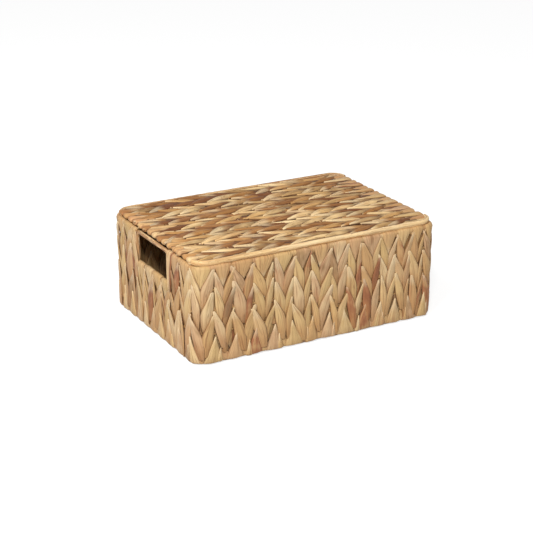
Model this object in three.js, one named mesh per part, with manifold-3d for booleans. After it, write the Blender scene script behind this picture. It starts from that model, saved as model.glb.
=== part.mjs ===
// A lidded storage hamper: flattened leaf strands twined in pairs over a welded wire frame.
// Millimetres, +Z up. The origin is the centre of the footprint, on the floor. The front is -Y.
// The basket's walls, base and lid are woven mats. Every mat is twined over wires that run
// through it, so each wire lies in a bore of its mat, a running gap away from the leaf.
import * as THREE from "three";
import { mergeVertices } from "three/addons/utils/BufferGeometryUtils.js";
import Module from "manifold-3d";

// Driving dimensions of the basket
const LENGTH = 400; // outside, along X
const DEPTH = 280; // outside, along Y
const HEIGHT = 147; // floor to the top of the woven rim
const CORNER_RADIUS = 20; // outside of the upright corners
const FRAME_WIRE = 3; // diameter of the basket's ring wires, posts and handle hoops
const MAT_WIRE = 2.5; // diameter of the wires in the lid and the base
const RING_COUNT = 3; // ring wires between the rim wire and the base wire
const PLAIT = 15; // width of one twined strand pair on the walls

// Driving dimensions of the hand holes in the two ends
const HANDLE_WIDTH = 104;
const HANDLE_HEIGHT = 41; // from the folded lower edge up to the underside of the grip

// Driving dimensions of the lid and the base
const LID_SETBACK = 3; // from the outside of the basket to the edge of the lid
const LID_CORNER_RADIUS = 24;
const LID_PLAIT = 17;
const LID_WIRE_COUNT = 10; // cross wires
const BASE_PLAIT = 34;
const BASE_WIRE_COUNT = 6;

// The leaf and how it lies
const WALL_LEAF = 2.2; // thickness over a wire, at the crown of a strand
const SHEET_LEAF = 1.8; // the same in the lid and the base
const TURNED_SHARE = 0.9; // half thickness where the leaf turns round an edge, as a share of the crown's
const LEAF_IN_VALLEY = 0.35; // cover left over a wire where two strands meet
const GROOVE_SHARE = 0.25; // half thickness left between segments, as a share of the crown's
const CREST_SHARE = 0.85; // where a segment is thickest, from its lower groove to its upper one
const FOOT_SHARE = 1.35; // the first space between wires, under the folded feet, in shares of the next
const GRIP_LEAF = 1.25; // thickness of the leaf wrapped round the grips
const FOLD = 2; // how far from an edge the leaf starts to turn round its wire
const GAP = 0.3; // running gap between pieces that lie on each other

// Facets
const WIRE_SIDES = 6;
const GRIP_SIDES = 8;
const CORNER_STEPS = 3;
const BEND_STEPS = 3;
const BINDING_STEPS = 4;

// A mat's bore for its wires, and its half thickness at a strand's crown, where two plaits meet
// over a wire, and in the groove between two segments of a plait.
function matOver(wire, leaf) {
  const bore = wire / 2 + GAP;
  const crown = bore + leaf;
  return { bore, crown, valley: bore + LEAF_IN_VALLEY, groove: GROOVE_SHARE * crown };
}

// The places of a mat's inner wires between its two end wires.
function wiresBetween(first, last, count) {
  const pitch = (last - first) / (count + FOOT_SHARE);
  return { pitch, levels: Array.from({ length: count }, (_, i) => last - (count - i) * pitch) };
}

const WALL = matOver(FRAME_WIRE, WALL_LEAF);
const SHEET = matOver(MAT_WIRE, SHEET_LEAF);

// The middle surface of the walls, which all the ring wires follow.
const MID_X = LENGTH / 2 - WALL.crown;
const MID_Y = DEPTH / 2 - WALL.crown;
const MID_RADIUS = CORNER_RADIUS - WALL.crown;
const CENTRE_X = MID_X - MID_RADIUS; // centres of the corner arcs
const CENTRE_Y = MID_Y - MID_RADIUS;
const BASE_Z = WALL.crown;
const RIM_Z = HEIGHT - WALL.crown;
const RINGS = wiresBetween(BASE_Z, RIM_Z, RING_COUNT);

// The hand holes: a hoop of wire hangs from the rim and carries the folded lower edge.
const GRIP_RADIUS = FRAME_WIRE / 2 + GAP + GRIP_LEAF;
const SILL_Z = RIM_Z - GRIP_RADIUS - HANDLE_HEIGHT;
const HOOP_Z = SILL_Z - WALL.crown;
const HOOP_X = HANDLE_WIDTH / 2 + WALL.bore + WALL_LEAF / 2;
const HOOP_BEND = 2 * FRAME_WIRE;

// The base lies inside the base wire, under the inner half of the walls.
const BASE_INSET = FRAME_WIRE / 2 + GAP;
const LEDGE_Z = BASE_Z + SHEET.crown + GAP;

// The lid lies on the rim.
const LID_LENGTH = LENGTH - 2 * LID_SETBACK;
const LID_DEPTH = DEPTH - 2 * LID_SETBACK;
const LID_Z = HEIGHT + GAP + SHEET.crown;
const LID_MID_X = LID_LENGTH / 2 - SHEET.crown;
const LID_MID_Y = LID_DEPTH / 2 - SHEET.crown;
const LID_MID_RADIUS = LID_CORNER_RADIUS - SHEET.crown;
const LID_INSET = MAT_WIRE / 2 + GAP;

const STRAW = new THREE.MeshStandardMaterial({ color: 0xc9a673, roughness: 0.75, metalness: 0 });
const LID_STRAW = new THREE.MeshStandardMaterial({ color: 0xbf9560, roughness: 0.7, metalness: 0 });
const BINDING = new THREE.MeshStandardMaterial({ color: 0xd0a468, roughness: 0.65, metalness: 0 });
const STEEL = new THREE.MeshStandardMaterial({ color: 0x6d5a45, roughness: 0.5, metalness: 0.8 });

const wasm = await Module();
wasm.setup();

function solidOf(geometry) {
  const bare = geometry.clone();
  bare.deleteAttribute("normal");
  bare.deleteAttribute("uv");
  const merged = mergeVertices(bare, 1e-4);
  const vertProperties = merged.attributes.position.array;
  const triVerts = new Uint32Array(merged.index.array);
  return new wasm.Manifold(new wasm.Mesh({ numProp: 3, vertProperties, triVerts }));
}

function geometryOf(solid) {
  const { vertProperties, triVerts } = solid.getMesh();
  const geometry = new THREE.BufferGeometry();
  geometry.setAttribute("position", new THREE.BufferAttribute(vertProperties, 3));
  geometry.setIndex(new THREE.BufferAttribute(triVerts, 1));
  geometry.computeVertexNormals();
  return geometry;
}

function cut(geometry, cutters) {
  return geometryOf(cutters.reduce((solid, cutter) => solid.subtract(solidOf(cutter)), solidOf(geometry)));
}

function indexed(points, triangles) {
  const geometry = new THREE.BufferGeometry().setFromPoints(points);
  geometry.setIndex(triangles.flat());
  geometry.computeVertexNormals();
  return geometry;
}

// Sweeps

function circleSection(radius, sides) {
  return Array.from({ length: sides }, (_, i) => {
    const angle = ((i + 0.5) * 2 * Math.PI) / sides;
    return new THREE.Vector2(radius * Math.cos(angle), radius * Math.sin(angle));
  });
}

// Sweeps a section along stations. A station is a point and the section's two directions there.
function sweep(stations, section, closed) {
  const n = section.length;
  const points = stations.flatMap(({ at, out, up }) =>
    section.map((s) => at.clone().addScaledVector(out, s.x).addScaledVector(up, s.y)),
  );
  const triangles = [];
  const spans = closed ? stations.length : stations.length - 1;
  for (let i = 0; i < spans; i++) {
    const here = i * n;
    const next = ((i + 1) % stations.length) * n;
    for (let k = 0; k < n; k++) {
      const l = (k + 1) % n;
      triangles.push([here + k, next + k, next + l], [here + k, next + l, here + l]);
    }
  }
  if (!closed) {
    const last = (stations.length - 1) * n;
    for (const [a, b, c] of THREE.ShapeUtils.triangulateShape(section, [])) {
      triangles.push([a, b, c], [last + a, last + c, last + b]);
    }
  }
  return indexed(points, triangles);
}

// Stations round one corner arc of a level loop. The quarter is the arc's start in quarter turns.
function cornerStations(centreX, centreY, radius, quarter, z) {
  return Array.from({ length: CORNER_STEPS + 1 }, (_, i) => {
    const angle = ((quarter + i / CORNER_STEPS) * Math.PI) / 2;
    const out = new THREE.Vector3(Math.cos(angle), Math.sin(angle), 0);
    const at = new THREE.Vector3(centreX, centreY, z).addScaledVector(out, radius);
    return { at, out, up: new THREE.Vector3(0, 0, 1) };
  });
}

// A closed level loop with round corners, anticlockwise from the right of the front.
function loopStations(halfX, halfY, radius, z) {
  const [x, y] = [halfX - radius, halfY - radius];
  return [
    ...cornerStations(x, -y, radius, 3, z),
    ...cornerStations(x, y, radius, 0, z),
    ...cornerStations(-x, y, radius, 1, z),
    ...cornerStations(-x, -y, radius, 2, z),
  ];
}

function endStation(x, y, z) {
  return {
    at: new THREE.Vector3(x, y, z),
    out: new THREE.Vector3(Math.sign(x), 0, 0),
    up: new THREE.Vector3(0, 0, 1),
  };
}

// The front half of a level loop, from the left end round both front corners to the right end.
function frontHalfStations(halfX, halfY, radius, endY, z) {
  const [x, y] = [halfX - radius, halfY - radius];
  return [
    endStation(-halfX, endY, z),
    ...cornerStations(-x, -y, radius, 2, z),
    ...cornerStations(x, -y, radius, 3, z),
    endStation(halfX, endY, z),
  ];
}

// A hoop in its own XZ plane: down one leg, along the sill and up the other leg.
function hoopStations(topZ) {
  const bendX = HOOP_X - HOOP_BEND;
  const bendZ = HOOP_Z + HOOP_BEND;
  const station = (x, z, angle) => ({
    at: new THREE.Vector3(x, 0, z),
    out: new THREE.Vector3(Math.cos(angle), 0, Math.sin(angle)),
    up: new THREE.Vector3(0, -1, 0),
  });
  const bend = (side, from) =>
    Array.from({ length: BEND_STEPS + 1 }, (_, i) => {
      const angle = from + ((i / BEND_STEPS) * Math.PI) / 2;
      return station(side * bendX + HOOP_BEND * Math.cos(angle), bendZ + HOOP_BEND * Math.sin(angle), angle);
    });
  return [
    station(-HOOP_X, topZ, Math.PI),
    ...bend(-1, Math.PI),
    ...bend(1, 1.5 * Math.PI),
    station(HOOP_X, topZ, 2 * Math.PI),
  ];
}

// A straight round bar along X, Y or Z, centred on the given point.
function bar(axis, radius, length, centre) {
  const geometry = new THREE.CylinderGeometry(radius, radius, length, WIRE_SIDES);
  if (axis === "x") geometry.rotateZ(Math.PI / 2);
  if (axis === "z") geometry.rotateX(Math.PI / 2);
  return geometry.translate(centre.x, centre.y, centre.z);
}

// The weave

// The twined strands show as slanted leaf segments, one over each wire. Between two neighbouring
// plaits they meet in a chevron. A peak line is where the segments start, at their upper tips, and
// a valley line is where they tuck in. Peak and valley lines take turns across the mat.
// Each node below is a place along the plait and the mat's half thickness there. levels are the
// wires' places along the plaits, and length is the mat's length that way.
function lineNodes(levels, length, mat, pitch) {
  const [first, last] = [levels[0], levels[levels.length - 1]];
  const top = length - FOLD;
  const foot = Math.max(first - pitch, 2 * FOLD);
  const tops = [...levels, top];
  const bottoms = [foot, ...levels];
  const turned = TURNED_SHARE * mat.crown;
  const ends = { start: [0, mat.crown / 2], low: [FOLD, turned], end: [length, mat.crown / 2] };
  const peak = {
    ...ends,
    heel: [THREE.MathUtils.lerp(FOLD, first, CREST_SHARE), mat.crown],
    at: tops.map((v) => [v, mat.valley]),
  };
  const valley = {
    ...ends,
    at: bottoms.map((v) => [v, mat.valley]),
    fold: [(last + top) / 2, mat.crown],
    high: [top, turned],
  };
  const grooves = tops.map((v, i) => (v + bottoms[i]) / 2);
  const middle = {
    ...ends,
    groove: grooves.map((v) => [v, mat.groove]),
    crest: levels.map((_, i) => [THREE.MathUtils.lerp(grooves[i], grooves[i + 1], CREST_SHARE), mat.crown]),
    high: [top, turned],
  };
  return { peak, valley, middle };
}

// The leaf segments of one plait, with a groove between each two of them.
function visiblePlait(peak, middle, valley) {
  const arms = middle.crest.length;
  const triangles = middle.crest.flatMap((crest, j) => {
    const [upper, lower] = [middle.groove[j + 1], middle.groove[j]];
    return [
      [peak.at[j + 1], peak.at[j], crest],
      [peak.at[j], lower, crest],
      [peak.at[j + 1], crest, upper],
      [valley.at[j], valley.at[j + 1], crest],
      [lower, valley.at[j], crest],
      [crest, valley.at[j + 1], upper],
    ];
  });
  const [top, groove, foot] = [peak.at[arms], middle.groove[arms], middle.groove[0]];
  triangles.push([top, groove, middle.high], [groove, valley.at[arms], valley.fold]);
  triangles.push([groove, valley.fold, middle.high], [middle.high, valley.fold, valley.high]);
  triangles.push([top, middle.high, middle.end], [top, middle.end, peak.end]);
  triangles.push([middle.high, valley.high, valley.end], [middle.high, valley.end, middle.end]);
  triangles.push([peak.low, middle.low, peak.heel], [peak.heel, middle.low, foot]);
  triangles.push([peak.heel, foot, peak.at[0]], [middle.low, valley.low, valley.at[0]]);
  triangles.push([middle.low, valley.at[0], foot]);
  triangles.push([peak.start, middle.start, middle.low], [peak.start, middle.low, peak.low]);
  triangles.push([middle.start, valley.start, valley.low], [middle.start, valley.low, middle.low]);
  return triangles;
}

// The same segments with fewer facets, for the face inside the basket or under the lid.
function hiddenPlait(peak, middle, valley) {
  const arms = middle.crest.length;
  const triangles = middle.crest.flatMap((crest, j) => [
    [peak.at[j + 1], peak.at[j], crest],
    [peak.at[j], valley.at[j], crest],
    [valley.at[j], valley.at[j + 1], crest],
    [valley.at[j + 1], peak.at[j + 1], crest],
  ]);
  const top = peak.at[arms];
  triangles.push([top, valley.at[arms], valley.fold], [top, valley.fold, valley.high]);
  triangles.push([top, valley.high, valley.end], [top, valley.end, peak.end]);
  triangles.push([peak.low, valley.low, peak.heel], [peak.heel, valley.low, valley.at[0]]);
  triangles.push([peak.heel, valley.at[0], peak.at[0]]);
  triangles.push([peak.start, valley.start, valley.low], [peak.start, valley.low, peak.low]);
  return triangles;
}

// Closes the strip between two rows of nodes that run the same way.
function zip(rowA, rowB, along) {
  const triangles = [];
  let [i, j] = [0, 0];
  while (i < rowA.length - 1 || j < rowB.length - 1) {
    const nextA = i < rowA.length - 1 ? along(rowA[i + 1]) : Infinity;
    const nextB = j < rowB.length - 1 ? along(rowB[j + 1]) : Infinity;
    if (nextA <= nextB) {
      triangles.push([rowA[i], rowA[i + 1], rowB[j]]);
      i++;
    } else {
      triangles.push([rowA[i], rowB[j + 1], rowB[j]]);
      j++;
    }
  }
  return triangles;
}

// A woven mat from u = from to u = to, with both faces in relief. place puts (u, v, w) in space,
// where v runs along the plaits and w comes out of the visible face.
function wovenMat({ from, to, plait, levels, length, mat, pitch, place }) {
  const count = 2 * Math.max(1, Math.round((to - from) / plait / 2));
  const nodes = lineNodes(levels, length, mat, pitch);
  const points = [];
  const places = [];
  const add = (u, side, [v, half]) => {
    points.push(place(u, v, side * half));
    places.push({ u, v });
    return points.length - 1;
  };
  // All the nodes of one line, by name, as their numbers in the mesh.
  const addLine = (kind, step, side) => {
    const u = from + ((to - from) * step) / count;
    const line = { kind };
    for (const [name, value] of Object.entries(nodes[kind])) {
      line[name] = Array.isArray(value[0]) ? value.map((n) => add(u, side, n)) : add(u, side, value);
    }
    return line;
  };
  const crestsOnly = (step, side) => ({
    crest: nodes.middle.crest.map((n) => add(from + ((to - from) * step) / count, side, n)),
  });
  const triangles = [];
  const reverse = ([a, b, c]) => [a, c, b];
  const addFace = (side, evenKind, oddKind, addMiddle, plaitTriangles) => {
    const lines = Array.from({ length: count + 1 }, (_, k) => addLine(k % 2 ? oddKind : evenKind, k, side));
    const middles = Array.from({ length: count }, (_, k) => addMiddle(k + 0.5, side));
    middles.forEach((middle, k) => {
      const peakFirst = lines[k].kind === "peak";
      const [peak, valley] = peakFirst ? [lines[k], lines[k + 1]] : [lines[k + 1], lines[k]];
      const made = plaitTriangles(peak, middle, valley);
      triangles.push(...(peakFirst === side > 0 ? made : made.map(reverse)));
    });
    return { lines, middles };
  };
  const addFullMiddle = (step, side) => addLine("middle", step, side);
  const front = addFace(1, "peak", "valley", addFullMiddle, visiblePlait);
  const back = addFace(-1, "valley", "peak", crestsOnly, hiddenPlait);

  const byU = (i) => places[i].u;
  const byV = (i) => places[i].v;
  const alongLine = (line) =>
    Object.values(line)
      .flat()
      .filter((value) => typeof value === "number")
      .sort((a, b) => byV(a) - byV(b));
  const across = (face, name) =>
    [...face.lines, ...face.middles]
      .filter((line) => name in line)
      .map((line) => line[name])
      .sort((a, b) => byU(a) - byU(b));
  triangles.push(...zip(alongLine(front.lines[0]), alongLine(back.lines[0]), byV));
  triangles.push(...zip(alongLine(front.lines[count]), alongLine(back.lines[count]), byV).map(reverse));
  triangles.push(...zip(across(front, "start"), across(back, "start"), byU).map(reverse));
  triangles.push(...zip(across(front, "end"), across(back, "end"), byU));
  return indexed(points, triangles);
}

// Walls, in a frame of their own: X along the wall, Z up, -Y out of the basket.

const flatWall = (u, v, w) => new THREE.Vector3(u, -w, v);
const roundWall = (u, v, w) => {
  const angle = u / MID_RADIUS;
  const reach = MID_RADIUS + w;
  return new THREE.Vector3(reach * Math.sin(angle), -reach * Math.cos(angle), v);
};

function wallMat(from, to, levels, length, place = flatWall) {
  const inset = GAP / 2;
  return wovenMat({
    from: from + inset,
    to: to - inset,
    plait: PLAIT,
    levels,
    length,
    mat: WALL,
    pitch: RINGS.pitch,
    place,
  });
}

// The bores for the level wires, and the ledge that the base's edge tucks under.
function wallCutters(from, to, levels) {
  const middle = (from + to) / 2;
  const long = to - from + 2 * WALL.crown;
  const bores = levels.map((z) => bar("x", WALL.bore, long, new THREE.Vector3(middle, 0, z)));
  const ledgeDepth = 2 * WALL.crown;
  const ledge = new THREE.BoxGeometry(long, ledgeDepth, LEDGE_Z);
  return [...bores, ledge.translate(middle, FRAME_WIRE / 2 + ledgeDepth / 2, LEDGE_Z / 2)];
}

function plainWall(from, to) {
  const all = [BASE_Z, ...RINGS.levels, RIM_Z];
  return cut(wallMat(from, to, RINGS.levels, HEIGHT), wallCutters(from, to, all));
}

const isBesideHoop = (z) => z > HOOP_Z - FRAME_WIRE;
const HOOP_BORE = sweep(hoopStations(HEIGHT), circleSection(WALL.bore, WIRE_SIDES), false);

// The part of an end wall beside its hand hole. Ring wires above the hoop's sill stop at its legs.
function wallBesideHandle(from, to) {
  const through = [BASE_Z, ...RINGS.levels.filter((z) => !isBesideHoop(z)), RIM_Z];
  const stopped = RINGS.levels.filter(isBesideHoop);
  const leg = from < 0 ? -HOOP_X : HOOP_X;
  const outer = from < 0 ? from - WALL.crown : to + WALL.crown;
  const stoppedBores = stopped.map((z) =>
    bar("x", WALL.bore, Math.abs(outer - leg), new THREE.Vector3((outer + leg) / 2, 0, z)),
  );
  const mat = wallMat(from, to, RINGS.levels, HEIGHT);
  return cut(mat, [...wallCutters(from, to, through), ...stoppedBores, HOOP_BORE]);
}

// The short plaits under a hand hole, which fold over the hoop's sill.
function wallUnderHandle() {
  const [from, to] = [-HANDLE_WIDTH / 2, HANDLE_WIDTH / 2];
  const levels = RINGS.levels.filter((z) => !isBesideHoop(z));
  return cut(wallMat(from, to, levels, SILL_Z), [...wallCutters(from, to, [BASE_Z, ...levels]), HOOP_BORE]);
}

const POST_REACH = MID_RADIUS - FRAME_WIRE - GAP; // from a corner's centre to its post
const DIAGONAL = Math.SQRT1_2;

// One pair of plaits bent round an upright corner, with its valley line on the corner.
function cornerWall() {
  const arc = (MID_RADIUS * Math.PI) / 2;
  const section = circleSection(WALL.bore, WIRE_SIDES);
  const overrun = WALL.crown;
  const bores = [BASE_Z, ...RINGS.levels, RIM_Z].map((z) => {
    const stations = cornerStations(0, 0, MID_RADIUS, 3, z);
    const [first, last] = [stations[0], stations[CORNER_STEPS]];
    const before = { ...first, at: first.at.clone().setX(-overrun) };
    const after = { ...last, at: last.at.clone().setY(overrun) };
    return sweep([before, ...stations, after], section, false);
  });
  const ledge = new THREE.CylinderGeometry(1, 1, LEDGE_Z, 4 * CORNER_STEPS).rotateX(Math.PI / 2);
  const ledgeRadius = MID_RADIUS - FRAME_WIRE / 2;
  ledge.scale(ledgeRadius, ledgeRadius, 1).translate(0, 0, LEDGE_Z / 2);
  const groovePlace = new THREE.Vector3(POST_REACH * DIAGONAL, -POST_REACH * DIAGONAL, HEIGHT / 2);
  const groove = bar("z", WALL.bore, 2 * HEIGHT, groovePlace);
  const mat = wovenMat({
    from: GAP / 2,
    to: arc - GAP / 2,
    plait: arc / 2,
    levels: RINGS.levels,
    length: HEIGHT,
    mat: WALL,
    pitch: RINGS.pitch,
    place: roundWall,
  });
  return cut(mat, [...bores, ledge, groove]);
}

// Level mats: the lid and the base. The plaits run along X, with the segments' tips towards -X.

const crossWires = (length, count) => wiresBetween(SHEET.crown, length - SHEET.crown, count);
const LID_CROSS = crossWires(LID_LENGTH, LID_WIRE_COUNT);

function levelMat(length, halfDepth, plait, { levels, pitch }) {
  return wovenMat({
    from: -halfDepth,
    to: halfDepth,
    plait,
    levels,
    length,
    mat: SHEET,
    pitch,
    place: (u, v, w) => new THREE.Vector3(length / 2 - v, u, w),
  });
}

const crossBores = (length, halfDepth, { levels }) =>
  levels.map((v) =>
    bar("y", SHEET.bore, 2 * halfDepth + 2 * SHEET.crown, new THREE.Vector3(length / 2 - v, 0, 0)),
  );

// An arc of the shape gets two facets for each of its curve segments.
function prism(shape, halfThickness) {
  const options = { depth: 2 * halfThickness, bevelEnabled: false, curveSegments: CORNER_STEPS / 2 };
  return new THREE.ExtrudeGeometry(shape, options).translate(0, 0, -halfThickness);
}

function roundedOutline(halfX, halfY, radius) {
  const [x, y] = [halfX - radius, halfY - radius];
  const shape = new THREE.Shape();
  shape.absarc(x, -y, radius, -Math.PI / 2, 0);
  shape.absarc(x, y, radius, 0, Math.PI / 2);
  shape.absarc(-x, y, radius, Math.PI / 2, Math.PI);
  shape.absarc(-x, -y, radius, Math.PI, 1.5 * Math.PI);
  shape.closePath();
  return shape;
}

// The lid's mat reaches over its end wires, and stays inside the binding along its sides and corners.
function lidOutline() {
  const halfX = LID_LENGTH / 2 + SHEET.crown;
  const [x, y] = [LID_MID_X - LID_MID_RADIUS, LID_MID_Y - LID_MID_RADIUS];
  const endY = y - GAP;
  const radius = LID_MID_RADIUS - LID_INSET;
  const shape = new THREE.Shape();
  shape.moveTo(halfX, -endY);
  shape.lineTo(halfX, endY);
  shape.lineTo(x + radius, endY);
  shape.absarc(x, y, radius, 0, Math.PI / 2);
  shape.absarc(-x, y, radius, Math.PI / 2, Math.PI);
  shape.lineTo(-x - radius, endY);
  shape.lineTo(-halfX, endY);
  shape.lineTo(-halfX, -endY);
  shape.lineTo(-x - radius, -endY);
  shape.absarc(-x, -y, radius, Math.PI, 1.5 * Math.PI);
  shape.absarc(x, -y, radius, 1.5 * Math.PI, 2 * Math.PI);
  shape.lineTo(x + radius, -endY);
  shape.closePath();
  return shape;
}

function trimmed(geometry, shape, cutters) {
  const inside = solidOf(geometry).intersect(solidOf(prism(shape, 2 * SHEET.crown)));
  return cut(geometryOf(inside), cutters);
}

function lidMat() {
  const halfDepth = LID_MID_Y - LID_INSET;
  const endBores = [-LID_MID_X, LID_MID_X].map((x) =>
    bar("y", SHEET.bore, LID_DEPTH, new THREE.Vector3(x, 0, 0)),
  );
  const mat = levelMat(LID_LENGTH, halfDepth, LID_PLAIT, LID_CROSS);
  return trimmed(mat, lidOutline(), [...crossBores(LID_LENGTH, halfDepth, LID_CROSS), ...endBores]);
}

const BASE_LENGTH = 2 * (MID_X - BASE_INSET);
const BASE_HALF_DEPTH = MID_Y - BASE_INSET;
const BASE_CROSS = crossWires(BASE_LENGTH, BASE_WIRE_COUNT);

function baseMat() {
  const radius = MID_RADIUS - BASE_INSET;
  const outline = roundedOutline(BASE_LENGTH / 2, BASE_HALF_DEPTH, radius);
  const [postX, postY] = [CENTRE_X + POST_REACH * DIAGONAL, CENTRE_Y + POST_REACH * DIAGONAL];
  const notches = [-1, 1].flatMap((sx) =>
    [-1, 1].map((sy) => bar("z", WALL.bore, HEIGHT, new THREE.Vector3(sx * postX, sy * postY, 0))),
  );
  const mat = levelMat(BASE_LENGTH, BASE_HALF_DEPTH, BASE_PLAIT, BASE_CROSS);
  return trimmed(mat, outline, [...crossBores(BASE_LENGTH, BASE_HALF_DEPTH, BASE_CROSS), ...notches]);
}

// The leaf folded over the lid's edge wire: a U whose legs point in, towards the mat.
function bindingSection() {
  const arc = (radius) =>
    Array.from({ length: BINDING_STEPS + 1 }, (_, i) => {
      const angle = -Math.PI / 2 + (i / BINDING_STEPS) * Math.PI;
      return new THREE.Vector2(radius * Math.cos(angle), radius * Math.sin(angle));
    });
  const leg = -MAT_WIRE / 2;
  const [outer, inner] = [SHEET.crown, SHEET.bore];
  return [
    new THREE.Vector2(leg, -outer),
    ...arc(outer),
    new THREE.Vector2(leg, outer),
    new THREE.Vector2(leg, inner),
    ...arc(inner).reverse(),
    new THREE.Vector2(leg, -inner),
  ];
}

// The grip's wrapped leaf: a sleeve on the rim wire, drawn in at its two ends.
function gripSleeve() {
  const half = HANDLE_WIDTH / 2 - GAP;
  const bore = FRAME_WIRE / 2 + GAP;
  const drawnIn = GRIP_RADIUS - GRIP_LEAF / 2;
  const profile = [
    [bore, -half],
    [drawnIn, -half],
    [GRIP_RADIUS, -half + 2 * FOLD],
    [GRIP_RADIUS, half - 2 * FOLD],
    [drawnIn, half],
    [bore, half],
    [bore, -half],
  ].map(([r, y]) => new THREE.Vector2(r, y));
  return new THREE.LatheGeometry(profile, GRIP_SIDES).rotateZ(Math.PI / 2);
}

// The assembly

const hamper = new THREE.Group();
const basket = new THREE.Group();
const lid = new THREE.Group();
hamper.add(basket, lid);
lid.position.z = LID_Z;

function piece(parent, name, geometry, material, place = {}) {
  const mesh = new THREE.Mesh(geometry, material);
  mesh.name = name;
  mesh.position.set(place.x ?? 0, place.y ?? 0, place.z ?? 0);
  mesh.rotation.z = place.turn ?? 0;
  parent.add(mesh);
}

const QUARTER = Math.PI / 2;
const LEFT = { x: -MID_X, turn: -QUARTER };
const RIGHT = { x: MID_X, turn: QUARTER };

// The welded frame
const frameSection = circleSection(FRAME_WIRE / 2, WIRE_SIDES);
const ring = (z) => sweep(loopStations(MID_X, MID_Y, MID_RADIUS, z), frameSection, true);
piece(basket, "rim_wire", ring(RIM_Z), STEEL);
piece(basket, "base_wire", ring(BASE_Z), STEEL);
const HALF_RING_END = HOOP_X + FRAME_WIRE / 2 + GAP;
RINGS.levels.forEach((z, i) => {
  const name = "ring_wire_" + (i + 1);
  if (!isBesideHoop(z)) {
    piece(basket, name, ring(z), STEEL);
    return;
  }
  const half = sweep(frontHalfStations(MID_X, MID_Y, MID_RADIUS, -HALF_RING_END, z), frameSection, false);
  piece(basket, name + "_front", half, STEEL);
  piece(basket, name + "_back", half, STEEL, { turn: Math.PI });
});
const hoop = sweep(hoopStations(RIM_Z - FRAME_WIRE / 2 - GAP), frameSection, false);
piece(basket, "handle_hoop_left", hoop, STEEL, LEFT);
piece(basket, "handle_hoop_right", hoop, STEEL, RIGHT);
const post = bar("z", FRAME_WIRE / 2, RIM_Z - BASE_Z, new THREE.Vector3(0, 0, (RIM_Z + BASE_Z) / 2));
const CORNERS = [
  ["front_right", 1, -1, 0],
  ["back_right", 1, 1, QUARTER],
  ["back_left", -1, 1, Math.PI],
  ["front_left", -1, -1, -QUARTER],
];
for (const [name, sx, sy] of CORNERS) {
  const x = sx * (CENTRE_X + POST_REACH * DIAGONAL);
  const y = sy * (CENTRE_Y + POST_REACH * DIAGONAL);
  piece(basket, "corner_post_" + name, post, STEEL, { x, y });
}

// The woven walls
const frontWall = plainWall(-CENTRE_X, CENTRE_X);
piece(basket, "front_wall", frontWall, STRAW, { y: -MID_Y });
piece(basket, "back_wall", frontWall, STRAW, { y: MID_Y, turn: Math.PI });
const besideBefore = wallBesideHandle(-CENTRE_Y, -HANDLE_WIDTH / 2);
const besideAfter = wallBesideHandle(HANDLE_WIDTH / 2, CENTRE_Y);
const underHandle = wallUnderHandle();
piece(basket, "left_wall_back", besideBefore, STRAW, LEFT);
piece(basket, "left_wall_front", besideAfter, STRAW, LEFT);
piece(basket, "left_wall_under_handle", underHandle, STRAW, LEFT);
piece(basket, "right_wall_front", besideBefore, STRAW, RIGHT);
piece(basket, "right_wall_back", besideAfter, STRAW, RIGHT);
piece(basket, "right_wall_under_handle", underHandle, STRAW, RIGHT);
const corner = cornerWall();
for (const [name, sx, sy, turn] of CORNERS) {
  piece(basket, "corner_" + name, corner, STRAW, { x: sx * CENTRE_X, y: sy * CENTRE_Y, turn });
}
const grip = gripSleeve();
piece(basket, "grip_left", grip, BINDING, { ...LEFT, z: RIM_Z });
piece(basket, "grip_right", grip, BINDING, { ...RIGHT, z: RIM_Z });

// The base
piece(basket, "base_mat", baseMat(), STRAW, { z: BASE_Z });
const crossWire = (halfDepth) => bar("y", MAT_WIRE / 2, 2 * halfDepth, new THREE.Vector3());
const baseCross = crossWire(BASE_HALF_DEPTH);
BASE_CROSS.levels.forEach((v, i) => {
  piece(basket, "base_cross_wire_" + (i + 1), baseCross, STEEL, { x: BASE_LENGTH / 2 - v, z: BASE_Z });
});

// The lid
const lidSection = circleSection(MAT_WIRE / 2, WIRE_SIDES);
const lidLoop = loopStations(LID_MID_X, LID_MID_Y, LID_MID_RADIUS, 0);
piece(lid, "lid_edge_wire", sweep(lidLoop, lidSection, true), STEEL);
piece(lid, "lid_mat", lidMat(), LID_STRAW);
const lidCross = crossWire(LID_MID_Y - LID_INSET);
LID_CROSS.levels.forEach((v, i) => {
  piece(lid, "lid_cross_wire_" + (i + 1), lidCross, STEEL, { x: LID_LENGTH / 2 - v });
});
const bindingEnd = LID_MID_RADIUS - LID_MID_Y;
const bindingPath = frontHalfStations(LID_MID_X, LID_MID_Y, LID_MID_RADIUS, bindingEnd, 0).slice(1, -1);
const binding = sweep(bindingPath, bindingSection(), false);
piece(lid, "lid_binding_front", binding, BINDING);
piece(lid, "lid_binding_back", binding, BINDING, { turn: Math.PI });

export default hamper;
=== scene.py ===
# %% [markdown]
# # A twined leaf hamper
# The real hamper is a welded wire frame. Long flattened leaves are twined in pairs over the wires,
# folded over the rim and under the floor edge, and a flat lid made the same way lies on the rim.
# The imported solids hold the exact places, so they are loaded first and everything is made round them.

# %% Load the frame
import math
import random

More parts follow.
